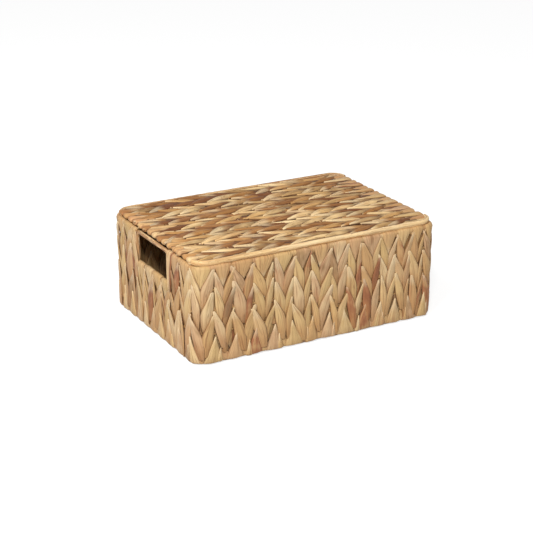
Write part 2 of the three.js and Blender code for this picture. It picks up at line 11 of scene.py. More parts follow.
import bmesh
import bpy
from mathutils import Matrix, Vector


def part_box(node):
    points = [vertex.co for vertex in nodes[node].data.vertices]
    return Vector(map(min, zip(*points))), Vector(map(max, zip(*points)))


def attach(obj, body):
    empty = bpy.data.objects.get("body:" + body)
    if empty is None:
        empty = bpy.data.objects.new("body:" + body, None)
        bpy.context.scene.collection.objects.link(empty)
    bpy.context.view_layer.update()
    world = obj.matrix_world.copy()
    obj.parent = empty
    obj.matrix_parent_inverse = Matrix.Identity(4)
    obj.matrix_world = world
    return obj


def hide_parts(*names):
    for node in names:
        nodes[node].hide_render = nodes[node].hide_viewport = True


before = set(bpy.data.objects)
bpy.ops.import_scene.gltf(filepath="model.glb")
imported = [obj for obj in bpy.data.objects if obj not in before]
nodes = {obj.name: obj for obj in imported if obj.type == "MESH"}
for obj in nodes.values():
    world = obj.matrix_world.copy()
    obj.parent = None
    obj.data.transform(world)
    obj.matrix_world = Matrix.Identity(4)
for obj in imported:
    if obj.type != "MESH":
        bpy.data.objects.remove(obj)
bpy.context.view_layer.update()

# %% [markdown]
# ## Sizes
# Blender works in metres, and a basket maker in millimetres. One constant turns the second into the
# first. The places of the wires are read from the solids, so the leaves always sit on their wires.

# %% Read the places of the wires
MM = 0.001
TURN = 2 * math.pi
WIRE_RADIUS = 1.5 * MM  # of the basket's frame


def wire_height(node):
    low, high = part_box(node)
    return (low.z + high.z) / 2


RIM = wire_height("rim_wire")
FOOT = wire_height("base_wire")
RINGS = [wire_height(name) for name in ("ring_wire_1", "ring_wire_2", "ring_wire_3_front")]
hoop_low, hoop_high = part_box("handle_hoop_left")
SILL = hoop_low.z + WIRE_RADIUS
LEG = hoop_high.y - WIRE_RADIUS
print("rings at", [round(z / MM, 1) for z in RINGS], "mm, rim at", round(RIM / MM, 1), "mm")

# %% Read the places of the walls
wall_low, wall_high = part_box("front_wall")
WALL_HALF = (wall_high.y - wall_low.y) / 2
WALL_Y = -wall_low.y - WALL_HALF
WALL_X = -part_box("left_wall_front")[0].x - WALL_HALF
CORNER_X = wall_high.x
CORNER = WALL_X - CORNER_X
CORNER_Y = WALL_Y - CORNER
HOLE_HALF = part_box("left_wall_back")[0].y
print("a hand hole is", round(2 * HOLE_HALF / MM, 1), "mm wide")

# %% [markdown]
# ## Camera, light and floor
# The photograph was taken from a little above, with a long lens, on a white ground. A large soft lamp
# high on the left, a smaller one near the camera and an even world give the same quiet light, at a level
# where a colour shows as written.
# The floor is white to the camera, and keeps a faint shadow because part of it is lit as a plain surface.


# %% One function adds a node
def add(tree, kind, links=None, **settings):
    """A link is a socket, or a node that gives its first output, or else a plain value."""
    node = tree.nodes.new(kind)
    for name, value in settings.items():
        setattr(node, name, value)
    for socket, value in (links or {}).items():
        if isinstance(value, bpy.types.Node):
            value = value.outputs[0]
        if isinstance(value, bpy.types.NodeSocket):
            tree.links.new(value, node.inputs[socket])
        else:
            node.inputs[socket].default_value = value
    return node


def linear(code):
    """An sRGB hex colour as linear red, green, blue and alpha."""
    parts = [int(code[i:i + 2], 16) / 255 for i in (1, 3, 5)]
    return [p / 12.92 if p <= 0.04045 else ((p + 0.055) / 1.055) ** 2.4 for p in parts] + [1.0]


print("the colour of straw in linear light", [round(p, 3) for p in linear("#D0AA72")])

# %% Set up the camera
CAMERA_AT = Vector((-984.66, -1763.75, 833.38)) * MM
LOOK_AT = Vector((-16.39, -9.27, 75.0)) * MM
LENS = 96.66  # mm, on a sensor of the usual 36 mm

camera = bpy.data.objects.new("camera", bpy.data.cameras.new("camera"))
bpy.context.scene.collection.objects.link(camera)
camera.location = CAMERA_AT
camera.rotation_euler = (LOOK_AT - CAMERA_AT).to_track_quat("-Z", "Y").to_euler()
camera.data.lens = LENS
bpy.context.scene.camera = camera
bpy.context.scene.view_settings.view_transform = "Standard"
print("camera", round((LOOK_AT - CAMERA_AT).length, 3), "m away")


# %% Set up the lamps
def soft_lamp(name, place, size, watts):
    lamp = bpy.data.objects.new(name, bpy.data.lights.new(name, "AREA"))
    bpy.context.scene.collection.objects.link(lamp)
    lamp.location = place
    lamp.rotation_euler = (-Vector(place)).to_track_quat("-Z", "Y").to_euler()
    lamp.data.size = size
    lamp.data.energy = watts


soft_lamp("key_lamp", place=(-1.6, -0.9, 2.0), size=0.9, watts=38)
soft_lamp("near_lamp", place=(-1.1, -1.85, 1.5), size=0.3, watts=26)

# %% Set up the world
EVEN_LIGHT = 0.45  # how strongly the world lights the hamper
WHITE = 1.0  # how bright the world itself looks


def seen_directly(tree):
    """1 where the camera sees a surface, also by way of a shine or through glass, and 0 where it only
    gives light."""
    rays = add(tree, "ShaderNodeLightPath").outputs
    seen = add(tree, "ShaderNodeMath", {0: rays["Is Camera Ray"], 1: rays["Is Glossy Ray"]},
               operation="MAXIMUM")
    return add(tree, "ShaderNodeMath", {0: seen, 1: rays["Is Transmission Ray"]}, operation="MAXIMUM")


world = bpy.data.worlds.new("studio")
bpy.context.scene.world = world
world.use_nodes = True
tree = world.node_tree
tree.nodes.clear()
level = add(tree, "ShaderNodeMapRange", {"Value": seen_directly(tree), "To Min": EVEN_LIGHT, "To Max": WHITE})
sky = add(tree, "ShaderNodeBackground", {"Color": linear("#FFFFFF"), "Strength": level})
add(tree, "ShaderNodeOutputWorld", {"Surface": sky})
print("world", len(tree.nodes), "nodes")

# %% Lay the floor
FLOOR_HALF = 6.0
FLOOR_GLOW = 0.7


def new_material(name):
    material = bpy.data.materials.new(name)
    material.use_nodes = True
    material.node_tree.nodes.clear()
    return material, material.node_tree


# Matt paper has no shine, so all it gives the eye is its white and the soft shadow on it.
floor_paper, tree = new_material("white seamless paper, matt")
matt = add(tree, "ShaderNodeBsdfDiffuse", {"Color": linear("#BCBCBC")})
glow = add(tree, "ShaderNodeEmission", {"Color": linear("#FFFFFF"), "Strength": FLOOR_GLOW})
hidden = add(tree, "ShaderNodeBsdfTransparent", {"Color": linear("#000000")})
shown_glow = add(tree, "ShaderNodeMixShader", {0: seen_directly(tree), 1: hidden, 2: glow})
paper = add(tree, "ShaderNodeAddShader", {0: matt, 1: shown_glow})
add(tree, "ShaderNodeOutputMaterial", {"Surface": paper})

floor_mesh = bpy.data.meshes.new("floor")
corners = [(x * FLOOR_HALF, y * FLOOR_HALF, 0) for x, y in ((-1, -1), (1, -1), (1, 1), (-1, 1))]
floor_mesh.from_pydata(corners, [], [(0, 1, 2, 3)])
floor_mesh.materials.append(floor_paper)
floor = bpy.data.objects.new("floor", floor_mesh)
bpy.context.scene.collection.objects.link(floor)
print("floor", 2 * FLOOR_HALF, "m wide")

# %% [markdown]
# ## One leaf
# A strand of the weave shows as a leaf segment that comes up between its neighbours, lies over a wire
# and tucks in again. It is flat, pointed at both ends, a little cupped, and creased along its length.
# One could sculpt it, but a loft is enough: a lens-shaped section carried along a middle line.
# Every leaf keeps three numbers at each point: how far across it lies in millimetres, how near to an edge,
# and how far along. The leaf material reads them later to run its fibres the right way.

# %% Loft leaves
ACROSS = "leaf_across"
EDGE = "leaf_edge"
ALONG = "leaf_along"
TONE = "leaf_tone"
NUMBER = "leaf_number"
END_POINT = 0.6  # how far the end of a leaf comes to a point, as a share of its half width there


def loft_leaves(name, leaves):
    """A mesh of closed leaves. A leaf is its stations and its section, and may have a tone and a number.
    A station is a point, the direction across, the direction out, a half width and a thickness.
    The section is a loop of places across, from -1 to 1, and heights."""
    points, faces = [], []
    marks = {label: [] for label in (ACROSS, EDGE, ALONG, TONE, NUMBER)}

    def mark(place, *values):
        points.append(place)
        for label, value in zip(marks, values):
            marks[label].append(value)

    for stations, section, *look in leaves:
        loop, start, length = len(section), len(points), 0.0
        widest = max(half for _, _, _, half, _ in stations) / MM
        before = stations[0][0]
        for at, side, out, half, thick in stations:
            length += (at - before).length
            before = at
            for across, height in section:
                place = at + side * (across * half) + out * (height * thick)
                mark(place, across * widest, abs(across), length, *look)
        for first in range(start, len(points) - loop, loop):
            for k in range(loop):
                here, beside = first + k, first + (k + 1) % loop
                faces.append((here, beside, beside + loop, here + loop))
        ends = ((stations[0], stations[1], start, 0.0),
                (stations[-1], stations[-2], len(points) - loop, length))
        for (at, _, _, half, _), (inner, *_), first, run in ends:
            mark(at - (inner - at).normalized() * (END_POINT * half), 0.0, 0.0, run, *look)
            faces += [(first + k, first + (k + 1) % loop, len(points) - 1) for k in range(loop)]
    mesh = bpy.data.meshes.new(name)
    mesh.from_pydata(points, [], faces)
    for label, values in marks.items():
        if values:
            mesh.attributes.new(label, "FLOAT", "POINT").data.foreach_set("value", values)
    shaped = bmesh.new()
    shaped.from_mesh(mesh)
    bmesh.ops.recalc_face_normals(shaped, faces=shaped.faces)
    shaped.to_mesh(mesh)
    shaped.free()
    mesh.shade_smooth()
    return mesh


# Six different leaves: the heights at four places across the outer face, how far the middle bows to one
# side as a share of the half width, how wide the leaf is as a share of the usual width, and how blunt its
# tip is, in columns.
LEAVES = [
    ((0.85, 1.1, 1.0, 0.75), 0.08, 1.06, 0.08),
    ((0.6, 0.9, 1.2, 0.95), -0.2, 0.94, 0.0),
    ((1.05, 0.85, 0.9, 1.1), 0.22, 1.14, 0.15),
    ((0.7, 1.2, 0.8, 1.0), -0.06, 1.02, 0.04),
    ((1.0, 0.7, 1.15, 0.7), 0.28, 0.97, 0.12),
    ((0.8, 1.0, 0.75, 1.15), -0.25, 1.1, 0.18),
]
CREASES_AT = (-0.8, -0.28, 0.28, 0.8)  # the four places across
BACK_FACE = [(0.45, -0.5), (-0.45, -0.5)]


def leaf_section(crease, cup):
    """cup is how far the edges lie lower than the middle, in thicknesses."""
    outer = [(-1.0, 0.0), *zip(CREASES_AT, crease), (1.0, 0.0)]
    return [(across, height - cup * across * across) for across, height in outer + BACK_FACE]


def leaf_box(name, meshes):
    """A collection of leaves for a course to pick from, in the order of their names."""
    box = bpy.data.collections.new(name)
    for mesh in meshes:
        box.objects.link(bpy.data.objects.new(mesh.name, mesh))
    return box


print(len(LEAVES), "kinds of leaf, with", len(leaf_section(LEAVES[0][0], 0.0)), "points round a section")

# %% Define a slanted segment
# A blade from its tip down: the share of its length, and where its upper and its lower edge lie there, in
# columns from the peak line. On the walls the upper edge is straight, on the lid it is long drawn out.
POINTED = ((0.0, 0.1, -0.07), (0.1, 0.33, -0.07), (0.22, 0.61, -0.03), (0.36, 0.9, 0.0),
           (0.5, 1.06, 0.06), (0.72, 1.12, 0.25), (0.97, 1.08, 0.5))
DRAWN_OUT = ((0.0, 0.1, -0.08), (0.1, 0.34, -0.09), (0.22, 0.62, -0.06), (0.36, 0.88, 0.0),
             (0.52, 1.04, 0.06), (0.72, 1.1, 0.26), (0.97, 1.06, 0.58))
BLUNT_END = 0.3  # the share of a blade's length over which a blunt tip is wider
BOWED = 0.6  # how much of a leaf's bow a blade has
GOES_IN = 1.6  # above 1, a blade stays on top at first and goes in late
THIN_END = 0.4  # the thickness of a blade that has no width, as a share of the full one


def segment(name, slant, leaf, profile, column, above, length, crest, tucked, thick, cup, shingle,
            overlap, ends):
    """A blade over a wire at the origin. Its tip lies on the peak line beside its column, above the wire.
    From there its upper edge runs down to the valley line. The tip is on top, at the height crest, the
    lower end goes in to the height tucked, and the upper edge stands out by the angle shingle. Leaves of
    one slant lie over the middle by the overlap, and those of the other under it. ends is how blunt the
    tips may be."""
    crease, bow, broad, blunt = leaf
    side, out = Vector((1, 0, 0)), Vector((0, -1, 0))
    lean = -slant * shingle
    turned_side = side * math.cos(lean) + out * math.sin(lean)
    turned_out = out * math.cos(lean) - side * math.sin(lean)
    stations = []
    for share, upper, lower in profile:
        aside = column * ((1 - upper - lower) / 2 + BOWED * bow * share * (1 - share))
        lift = crest - (crest - tucked) * share ** GOES_IN
        half = broad * column * ((upper - lower) / 2 + ends * blunt * max(0, 1 - share / BLUNT_END))
        at = Vector((slant * aside, 0, above - length * share)) + out * (lift + slant * overlap)
        stations.append((at, turned_side, turned_out, half, thick * min(1, THIN_END + half / column)))
    return loft_leaves(name, [(stations, leaf_section(crease, cup))])


def segment_box(name, sizes):
    return leaf_box(name, [segment(f"{name}_{int(slant > 0)}_{i}", slant, leaf, **sizes)
                           for slant in (-1, 1) for i, leaf in enumerate(LEAVES)])


print(len(POINTED), "places along a blade")

# %% Cut the slanted segments
WALL_COLUMN = 14.4 * MM  # the width that a wall segment crosses from side to side
LID_COLUMN = 16.5 * MM
FLAT, PLUMP = math.radians(10), math.radians(4)  # how far the upper edge of such a leaf stands out
WALL_BLADE = {"profile": POINTED, "column": WALL_COLUMN, "above": 30 * MM, "length": 62 * MM,
              "crest": 2.9 * MM, "tucked": 0.0, "thick": 1.3 * MM, "cup": 0.4, "shingle": FLAT,
              "overlap": 0.1 * MM, "ends": 0.5}
FOOT_BLADE = {**WALL_BLADE, "above": 28 * MM, "length": 64 * MM, "tucked": 2.3 * MM, "overlap": -0.2 * MM}
LID_BLADE = {"profile": DRAWN_OUT, "column": LID_COLUMN, "above": 32 * MM, "length": 66 * MM,
             "crest": 2.9 * MM, "tucked": -1.2 * MM, "thick": 2.3 * MM, "cup": 1.4, "shingle": PLUMP,
             "overlap": -0.6 * MM, "ends": 0.25}
UNDER_BLADE = {**LID_BLADE, "profile": POINTED, "crest": 2.0 * MM, "tucked": -0.8 * MM, "thick": 1.2 * MM,
               "cup": 0.5, "shingle": FLAT, "overlap": 0.3 * MM, "ends": 0.5}
wall_segments = segment_box("wall_segment", WALL_BLADE)
foot_segments = segment_box("foot_segment", FOOT_BLADE)
lid_segments = segment_box("lid_segment", LID_BLADE)
under_segments = segment_box("under_segment", UNDER_BLADE)

# %% Define a folded end
FOLD_THICK = 1.0 * MM
FOLD_STEPS = 4  # facets from the front of a fold to its back
FRONT_LEG = ((1.0, 0.05), (0.75, 0.27), (0.5, 0.52), (0.25, 0.78))  # shares of the leg and of the width
BACK_LEG = ((0.4, 0.75, 0.75), (1.0, 0.2, 0.3))  # the same, and of the radius
UNDER, OVER = 0.15, 1.0  # the point of a fold's leg goes under the segments or lies on them
SMOOTH, RAISED, CROWNED, ROUND = 0.3, 0.7, 1.5, 3.2  # how much a fold is cupped


def folded(name, leaf, leg, half, radius, apex, back_leg, cup):
    """A leaf end folded over a wire at the origin. It is wide at the fold and has a pointed leg down
    each side. apex is the height of the front leg's point, as a share of the radius."""
    crease, bow, broad, _ = leaf
    stations = []
    side = Vector((1, 0, 0))
    front, back = Vector((0, -1, 0)), Vector((0, 1, 0))
    half = half * (1 + broad) / 2
    for share, width in FRONT_LEG:
        at = Vector((bow * half * share, -radius * (1 - (1 - apex) * share), -leg * share))
        stations.append((at, side, front, half * width, FOLD_THICK))
    for step in range(FOLD_STEPS + 1):
        angle = math.pi * step / FOLD_STEPS
        out = Vector((0, -math.cos(angle), math.sin(angle)))
        stations.append((out * radius, side, out, half, FOLD_THICK))
    for share, width, lift in BACK_LEG:
        at = Vector((0, radius * lift, -back_leg * share))
        stations.append((at, side, back, half * width, FOLD_THICK))
    return loft_leaves(name, [(stations, leaf_section(crease, cup))])


def fold_box(name, **sizes):
    return leaf_box(name, [folded(f"{name}_{i}", leaf, **sizes) for i, leaf in enumerate(LEAVES)])


print(len(FRONT_LEG) + FOLD_STEPS + 1 + len(BACK_LEG), "places along a folded end")

# %% Cut the folded ends of the walls
WALL_FOLD = WALL_HALF - FOLD_THICK
FOLD_WIDTH = 0.98 * WALL_COLUMN
rim_folds = fold_box("rim_fold", leg=34 * MM, half=0.95 * WALL_COLUMN, radius=WALL_FOLD + 0.4 * MM,
                     apex=UNDER, back_leg=14 * MM, cup=RAISED)
foot_folds = fold_box("foot_fold", leg=36 * MM, half=FOLD_WIDTH, radius=WALL_FOLD,
                      apex=OVER, back_leg=14 * MM, cup=CROWNED)
sill_folds = fold_box("sill_fold", leg=30 * MM, half=FOLD_WIDTH, radius=WALL_FOLD + 0.3 * MM,
                      apex=UNDER, back_leg=12 * MM, cup=RAISED)
wall_fills = fold_box("wall_fill", leg=30 * MM, half=FOLD_WIDTH, radius=WALL_FOLD - 1.6 * MM,
                      apex=UNDER, back_leg=14 * MM, cup=SMOOTH)
rim_fills = fold_box("rim_fill", leg=30 * MM, half=FOLD_WIDTH, radius=WALL_FOLD - 0.3 * MM,
                     apex=UNDER, back_leg=6 * MM, cup=SMOOTH)
foot_strips = fold_box("foot_strip", leg=20 * MM, half=0.5 * WALL_COLUMN, radius=WALL_FOLD + 0.2 * MM,
                       apex=OVER, back_leg=10 * MM, cup=CROWNED)

# %% Cut the inner leaves
CORE_HALF = 70 * MM
CORE_THICK = 0.6 * MM
CORE_BOW = 4 * MM
CORE_BENDS = 3  # radians of the bow's wave from the middle to an end
CORE_CUP = 0.3
# From end to end: the share of half the length, and half the width in columns.
CORE_OUTLINE = ((-1, 0.1), (-0.96, 0.62), (-0.5, 0.6), (0, 0.64), (0.5, 0.6), (0.96, 0.62), (1, 0.1))


def core(name, leaf):
    """A long flat leaf in the middle of a mat. It runs behind the segments and closes the mat."""
    crease, bow, broad, _ = leaf
    side, out = Vector((1, 0, 0)), Vector((0, -1, 0))
    stations = []
    for share, width in CORE_OUTLINE:
        at = Vector((bow * CORE_BOW * math.cos(CORE_BENDS * share), 0, CORE_HALF * share))
        stations.append((at, side, out, width * broad * WALL_COLUMN, CORE_THICK))
    return loft_leaves(name, [(stations, leaf_section(crease, CORE_CUP))])


core_leaves = leaf_box("core_leaf", [core(f"core_leaf_{i}", leaf) for i, leaf in enumerate(LEAVES)])

# %% [markdown]
# ## Laying a course of leaves
# The leaves repeat by a rule: columns side by side along the wall, rows from wire to wire, the slant
# turning over from column to column. That is work for Geometry Nodes. The tree makes one point for
# each leaf in a flat mat, puts a leaf on each point, makes the copies real, and then wraps the flat
# mat round the wall's path: the distance along the mat becomes a distance along the path.
# The columns aren't equal. They close up towards one side, and each line between them wanders a bit.


# %% Make the tree that places the lines between the columns
def new_tree(name, inputs, outputs):
    tree = bpy.data.node_groups.new(name, "GeometryNodeTree")
    for label, kind in inputs:
        tree.interface.new_socket(label, in_out="INPUT", socket_type="NodeSocket" + kind)
    for label, kind in outputs:
        tree.interface.new_socket(label, in_out="OUTPUT", socket_type="NodeSocket" + kind)
    return tree, add(tree, "NodeGroupInput").outputs


line_inputs = [("Line", "Float"), ("Start", "Float"), ("Span", "Float"), ("Columns", "Int"),
               ("Squeeze", "Float"), ("Wander", "Float"), ("Seed", "Int")]
line_tree, given = new_tree("column line", line_inputs, [("Place", "Float")])
share = add(line_tree, "ShaderNodeMath", {0: given["Line"], 1: given["Columns"]}, operation="DIVIDE")
square = add(line_tree, "ShaderNodeMath", {0: share, 1: share}, operation="MULTIPLY")
bulge = add(line_tree, "ShaderNodeMath", {0: share, 1: square}, operation="SUBTRACT")
eased = add(line_tree, "ShaderNodeMath", {0: bulge, 1: given["Squeeze"], 2: share}, operation="MULTIPLY_ADD")
straight = add(line_tree, "ShaderNodeMath", {0: eased, 1: given["Span"], 2: given["Start"]},
               operation="MULTIPLY_ADD")
# A random number's inputs 2 and 3 are its least and its most, and its output 1 is the number.
drift = add(line_tree, "FunctionNodeRandomValue",
            {2: -1.0, 3: 1.0, "ID": given["Line"], "Seed": given["Seed"]}, data_type="FLOAT").outputs[1]
place = add(line_tree, "ShaderNodeMath", {0: drift, 1: given["Wander"], 2: straight},
            operation="MULTIPLY_ADD")
add(line_tree, "NodeGroupOutput", {"Place": place})
print("column line tree", len(line_tree.nodes), "nodes")

# %% Start the tree that lays a course
course_inputs = [
    ("Geometry", "Geometry"), ("Leaves", "Collection"), ("Path", "Object"), ("Along", "Vector"),
    ("Start", "Float"), ("Span", "Float"), ("Columns", "Int"), ("Squeeze", "Float"), ("Wander", "Float"),
    ("Count", "Int"), ("Step", "Int"), ("Offset", "Int"), ("Reach", "Int"),
    ("Rows", "Int"), ("First row", "Float"), ("Row pitch", "Float"), ("Leaf width", "Float"),
    ("Stretch", "Float"), ("Lift", "Float"), ("Turn", "Vector"), ("Slide", "Float"), ("Sway", "Float"),
    ("Swell", "Float"), ("Uneven", "Float"), ("Rise", "Float"), ("Kinds", "Int"), ("Seed", "Int"),
    ("Leaf seed", "Int"), ("Material", "Material"),
]
course_tree, given = new_tree("leaf course", course_inputs, [("Geometry", "Geometry")])
index = add(course_tree, "GeometryNodeInputIndex")
ratio = add(course_tree, "ShaderNodeMath", {0: index, 1: given["Rows"]}, operation="DIVIDE")
item = add(course_tree, "ShaderNodeMath", {0: ratio}, operation="FLOOR")
row = add(course_tree, "ShaderNodeMath", {0: index, 1: given["Rows"]}, operation="MODULO")
left_line = add(course_tree, "ShaderNodeMath", {0: item, 1: given["Step"], 2: given["Offset"]},
                operation="MULTIPLY_ADD")
right_line = add(course_tree, "ShaderNodeMath", {0: left_line, 1: given["Reach"]}, operation="ADD")
shared = {label: given[label] for label in ("Start", "Span", "Columns", "Squeeze", "Wander", "Seed")}
left = add(course_tree, "GeometryNodeGroup", {**shared, "Line": left_line}, node_tree=line_tree)
right = add(course_tree, "GeometryNodeGroup", {**shared, "Line": right_line}, node_tree=line_tree)
both = add(course_tree, "ShaderNodeMath", {0: left, 1: right}, operation="ADD")
middle = add(course_tree, "ShaderNodeMath", {0: both, 1: 0.5}, operation="MULTIPLY")
width = add(course_tree, "ShaderNodeMath", {0: right, 1: left}, operation="SUBTRACT")
print("a course has", len(course_inputs), "inputs")

# %% Put a point where each leaf goes
# Seven numbers from -1 to 1 for each leaf, the same in every run.
chance = {}
for offset, label in enumerate((TONE, NUMBER, "slide", "sway", "swell", "uneven", "rise"), 1):
    seed = add(course_tree, "ShaderNodeMath", {0: given["Leaf seed"], 1: float(offset)}, operation="ADD")
    chance[label] = add(course_tree, "FunctionNodeRandomValue", {2: -1.0, 3: 1.0, "ID": index, "Seed": seed},
                        data_type="FLOAT").outputs[1]
height = add(course_tree, "ShaderNodeMath", {0: row, 1: given["Row pitch"], 2: given["First row"]},
             operation="MULTIPLY_ADD")
height = add(course_tree, "ShaderNodeMath", {0: chance["slide"], 1: given["Slide"], 2: height},
             operation="MULTIPLY_ADD")
lift = add(course_tree, "ShaderNodeMath", {0: chance["rise"], 1: given["Rise"], 2: given["Lift"]},
           operation="MULTIPLY_ADD")
# A leaf that is turned to the inner face rises the other way, so the height of the point is turned with it.
facing = add(course_tree, "ShaderNodeSeparateXYZ", {0: given["Turn"]}).outputs["Z"]
facing = add(course_tree, "ShaderNodeMath", {0: facing}, operation="COSINE")
inside = add(course_tree, "ShaderNodeMath", {0: lift, 1: facing}, operation="MULTIPLY")
inside = add(course_tree, "ShaderNodeMath", {0: inside, 1: -1.0}, operation="MULTIPLY")
flat_place = add(course_tree, "ShaderNodeCombineXYZ", {0: middle, 1: inside, 2: height})
total = add(course_tree, "ShaderNodeMath", {0: given["Count"], 1: given["Rows"]}, operation="MULTIPLY")
points = add(course_tree, "GeometryNodePoints", {"Count": total, "Position": flat_place})
for label in (TONE, NUMBER):
    points = add(course_tree, "GeometryNodeStoreNamedAttribute",
                 {"Geometry": points, "Name": label, "Value": chance[label]},
                 data_type="FLOAT", domain="POINT")
print(len(chance), "numbers for each leaf")

# %% Put a leaf on each point
# Columns take turns, so the kind of leaf is picked by its slant first and then by chance.
slant = add(course_tree, "ShaderNodeMath", {0: left_line, 1: 2.0}, operation="FLOORED_MODULO")
kind_seed = add(course_tree, "ShaderNodeMath", {0: given["Leaf seed"], 1: len(chance) + 1.0}, operation="ADD")
last_kind = add(course_tree, "ShaderNodeMath", {0: given["Kinds"], 1: 1.0}, operation="SUBTRACT")
# For a whole number the inputs are 4 and 5, and the output is 2.
kind = add(course_tree, "FunctionNodeRandomValue", {4: 0, 5: last_kind, "ID": index, "Seed": kind_seed},
           data_type="INT").outputs[2]
pick = add(course_tree, "ShaderNodeMath", {0: slant, 1: given["Kinds"], 2: kind}, operation="MULTIPLY_ADD")
sway = add(course_tree, "ShaderNodeMath", {0: chance["sway"], 1: given["Sway"]}, operation="MULTIPLY")
sway = add(course_tree, "ShaderNodeCombineXYZ", {1: sway})
euler = add(course_tree, "ShaderNodeVectorMath", {0: given["Turn"], 1: sway}, operation="ADD")
turn = add(course_tree, "FunctionNodeEulerToRotation", {0: euler})
swell = add(course_tree, "ShaderNodeMath", {0: chance["swell"], 1: given["Swell"], 2: 1.0},
            operation="MULTIPLY_ADD")
grow = add(course_tree, "ShaderNodeMath", {0: chance["uneven"], 1: given["Uneven"], 2: given["Stretch"]},
           operation="MULTIPLY_ADD")
fit = add(course_tree, "ShaderNodeMath", {0: width, 1: given["Leaf width"]}, operation="DIVIDE")
fit = add(course_tree, "ShaderNodeMath", {0: fit, 1: swell}, operation="MULTIPLY")
scale = add(course_tree, "ShaderNodeCombineXYZ", {0: fit, 1: 1.0, 2: grow})
leaves = add(course_tree, "GeometryNodeCollectionInfo",
             {"Collection": given["Leaves"], "Separate Children": True, "Reset Children": True})
laid = add(course_tree, "GeometryNodeInstanceOnPoints",
           {"Points": points, "Instance": leaves, "Pick Instance": True, "Instance Index": pick,
            "Rotation": turn, "Scale": scale})
real = add(course_tree, "GeometryNodeRealizeInstances", {"Geometry": laid})
print("a leaf is one of", 2 * len(LEAVES))

# %% Wrap the flat mat
# x runs along the path, z along the plaits, and -y out of the face.
flat = add(course_tree, "GeometryNodeInputPosition")
flat = add(course_tree, "ShaderNodeSeparateXYZ", {0: flat}).outputs
path = add(course_tree, "GeometryNodeObjectInfo", {"Object": given["Path"]}).outputs["Geometry"]
sample = add(course_tree, "GeometryNodeSampleCurve", {"Curves": path, "Length": flat["X"]},
             mode="LENGTH").outputs
normal = add(course_tree, "ShaderNodeVectorMath", {0: sample["Tangent"], 1: given["Along"]},
             operation="CROSS_PRODUCT")
inwards = add(course_tree, "ShaderNodeVectorMath", {0: normal, "Scale": flat["Y"]}, operation="SCALE")
upwards = add(course_tree, "ShaderNodeVectorMath", {0: given["Along"], "Scale": flat["Z"]}, operation="SCALE")
wrapped = add(course_tree, "ShaderNodeVectorMath", {0: sample["Position"], 1: inwards}, operation="SUBTRACT")
wrapped = add(course_tree, "ShaderNodeVectorMath", {0: wrapped, 1: upwards}, operation="ADD")
wound = add(course_tree, "GeometryNodeSetPosition", {"Geometry": real, "Position": wrapped})
smooth = add(course_tree, "GeometryNodeSetShadeSmooth", {"Geometry": wound})
coloured = add(course_tree, "GeometryNodeSetMaterial", {"Geometry": smooth, "Material": given["Material"]})
joined = add(course_tree, "GeometryNodeJoinGeometry", {0: given["Geometry"]})
course_tree.links.new(coloured.outputs[0], joined.inputs[0])
add(course_tree, "NodeGroupOutput", {"Geometry": joined})
print("leaf course tree", len(course_tree.nodes), "nodes")

# %% [markdown]
# ## The dried leaf
# Water hyacinth stalks are flattened and dried. Most turn the colour of straw and a few turn red-brown.
# The tip that lies on top is paler, partly bleached and partly a painted highlight. The part that tucks
# in is painted browner as the shade under the next leaf, and the edges are darker, partly of themselves
# and partly as painted shade between leaves. Fine fibres run from end to end, with a dark line where the
# stalk was pressed flat.
# The surface is matt with a faint sheen. The colour comes from one number per leaf, and the fibres
# from noise that is stretched along the leaf. Real fibres are about 0.4 mm apart. They are drawn
# 1.1 mm apart here, because finer ones would not show in the picture.

# %% Make the leaf material
# How wide and how long, in mm, one fibre shows, one dark line, one red-brown streak and one stain.
MARKS = {"fibre": (1.1, 45.0), "line": (4.5, 130.0), "streak": (3.2, 60.0), "stain": (9.0, 22.0)}
SPECK = 6.0  # mm between the dark specks
APART = 900.0  # how far the numbers of the leaves put them apart in the noise
STAINED = 0.18  # how far a stain moves a leaf's colour along the palette
STREAKED = 0.1  # how much more one leaf is streaked than another
SPECKED = 0.12  # the same for its specks
FIBRE_HEIGHT = 0.25 * MM
LEAF_IOR = 1.45


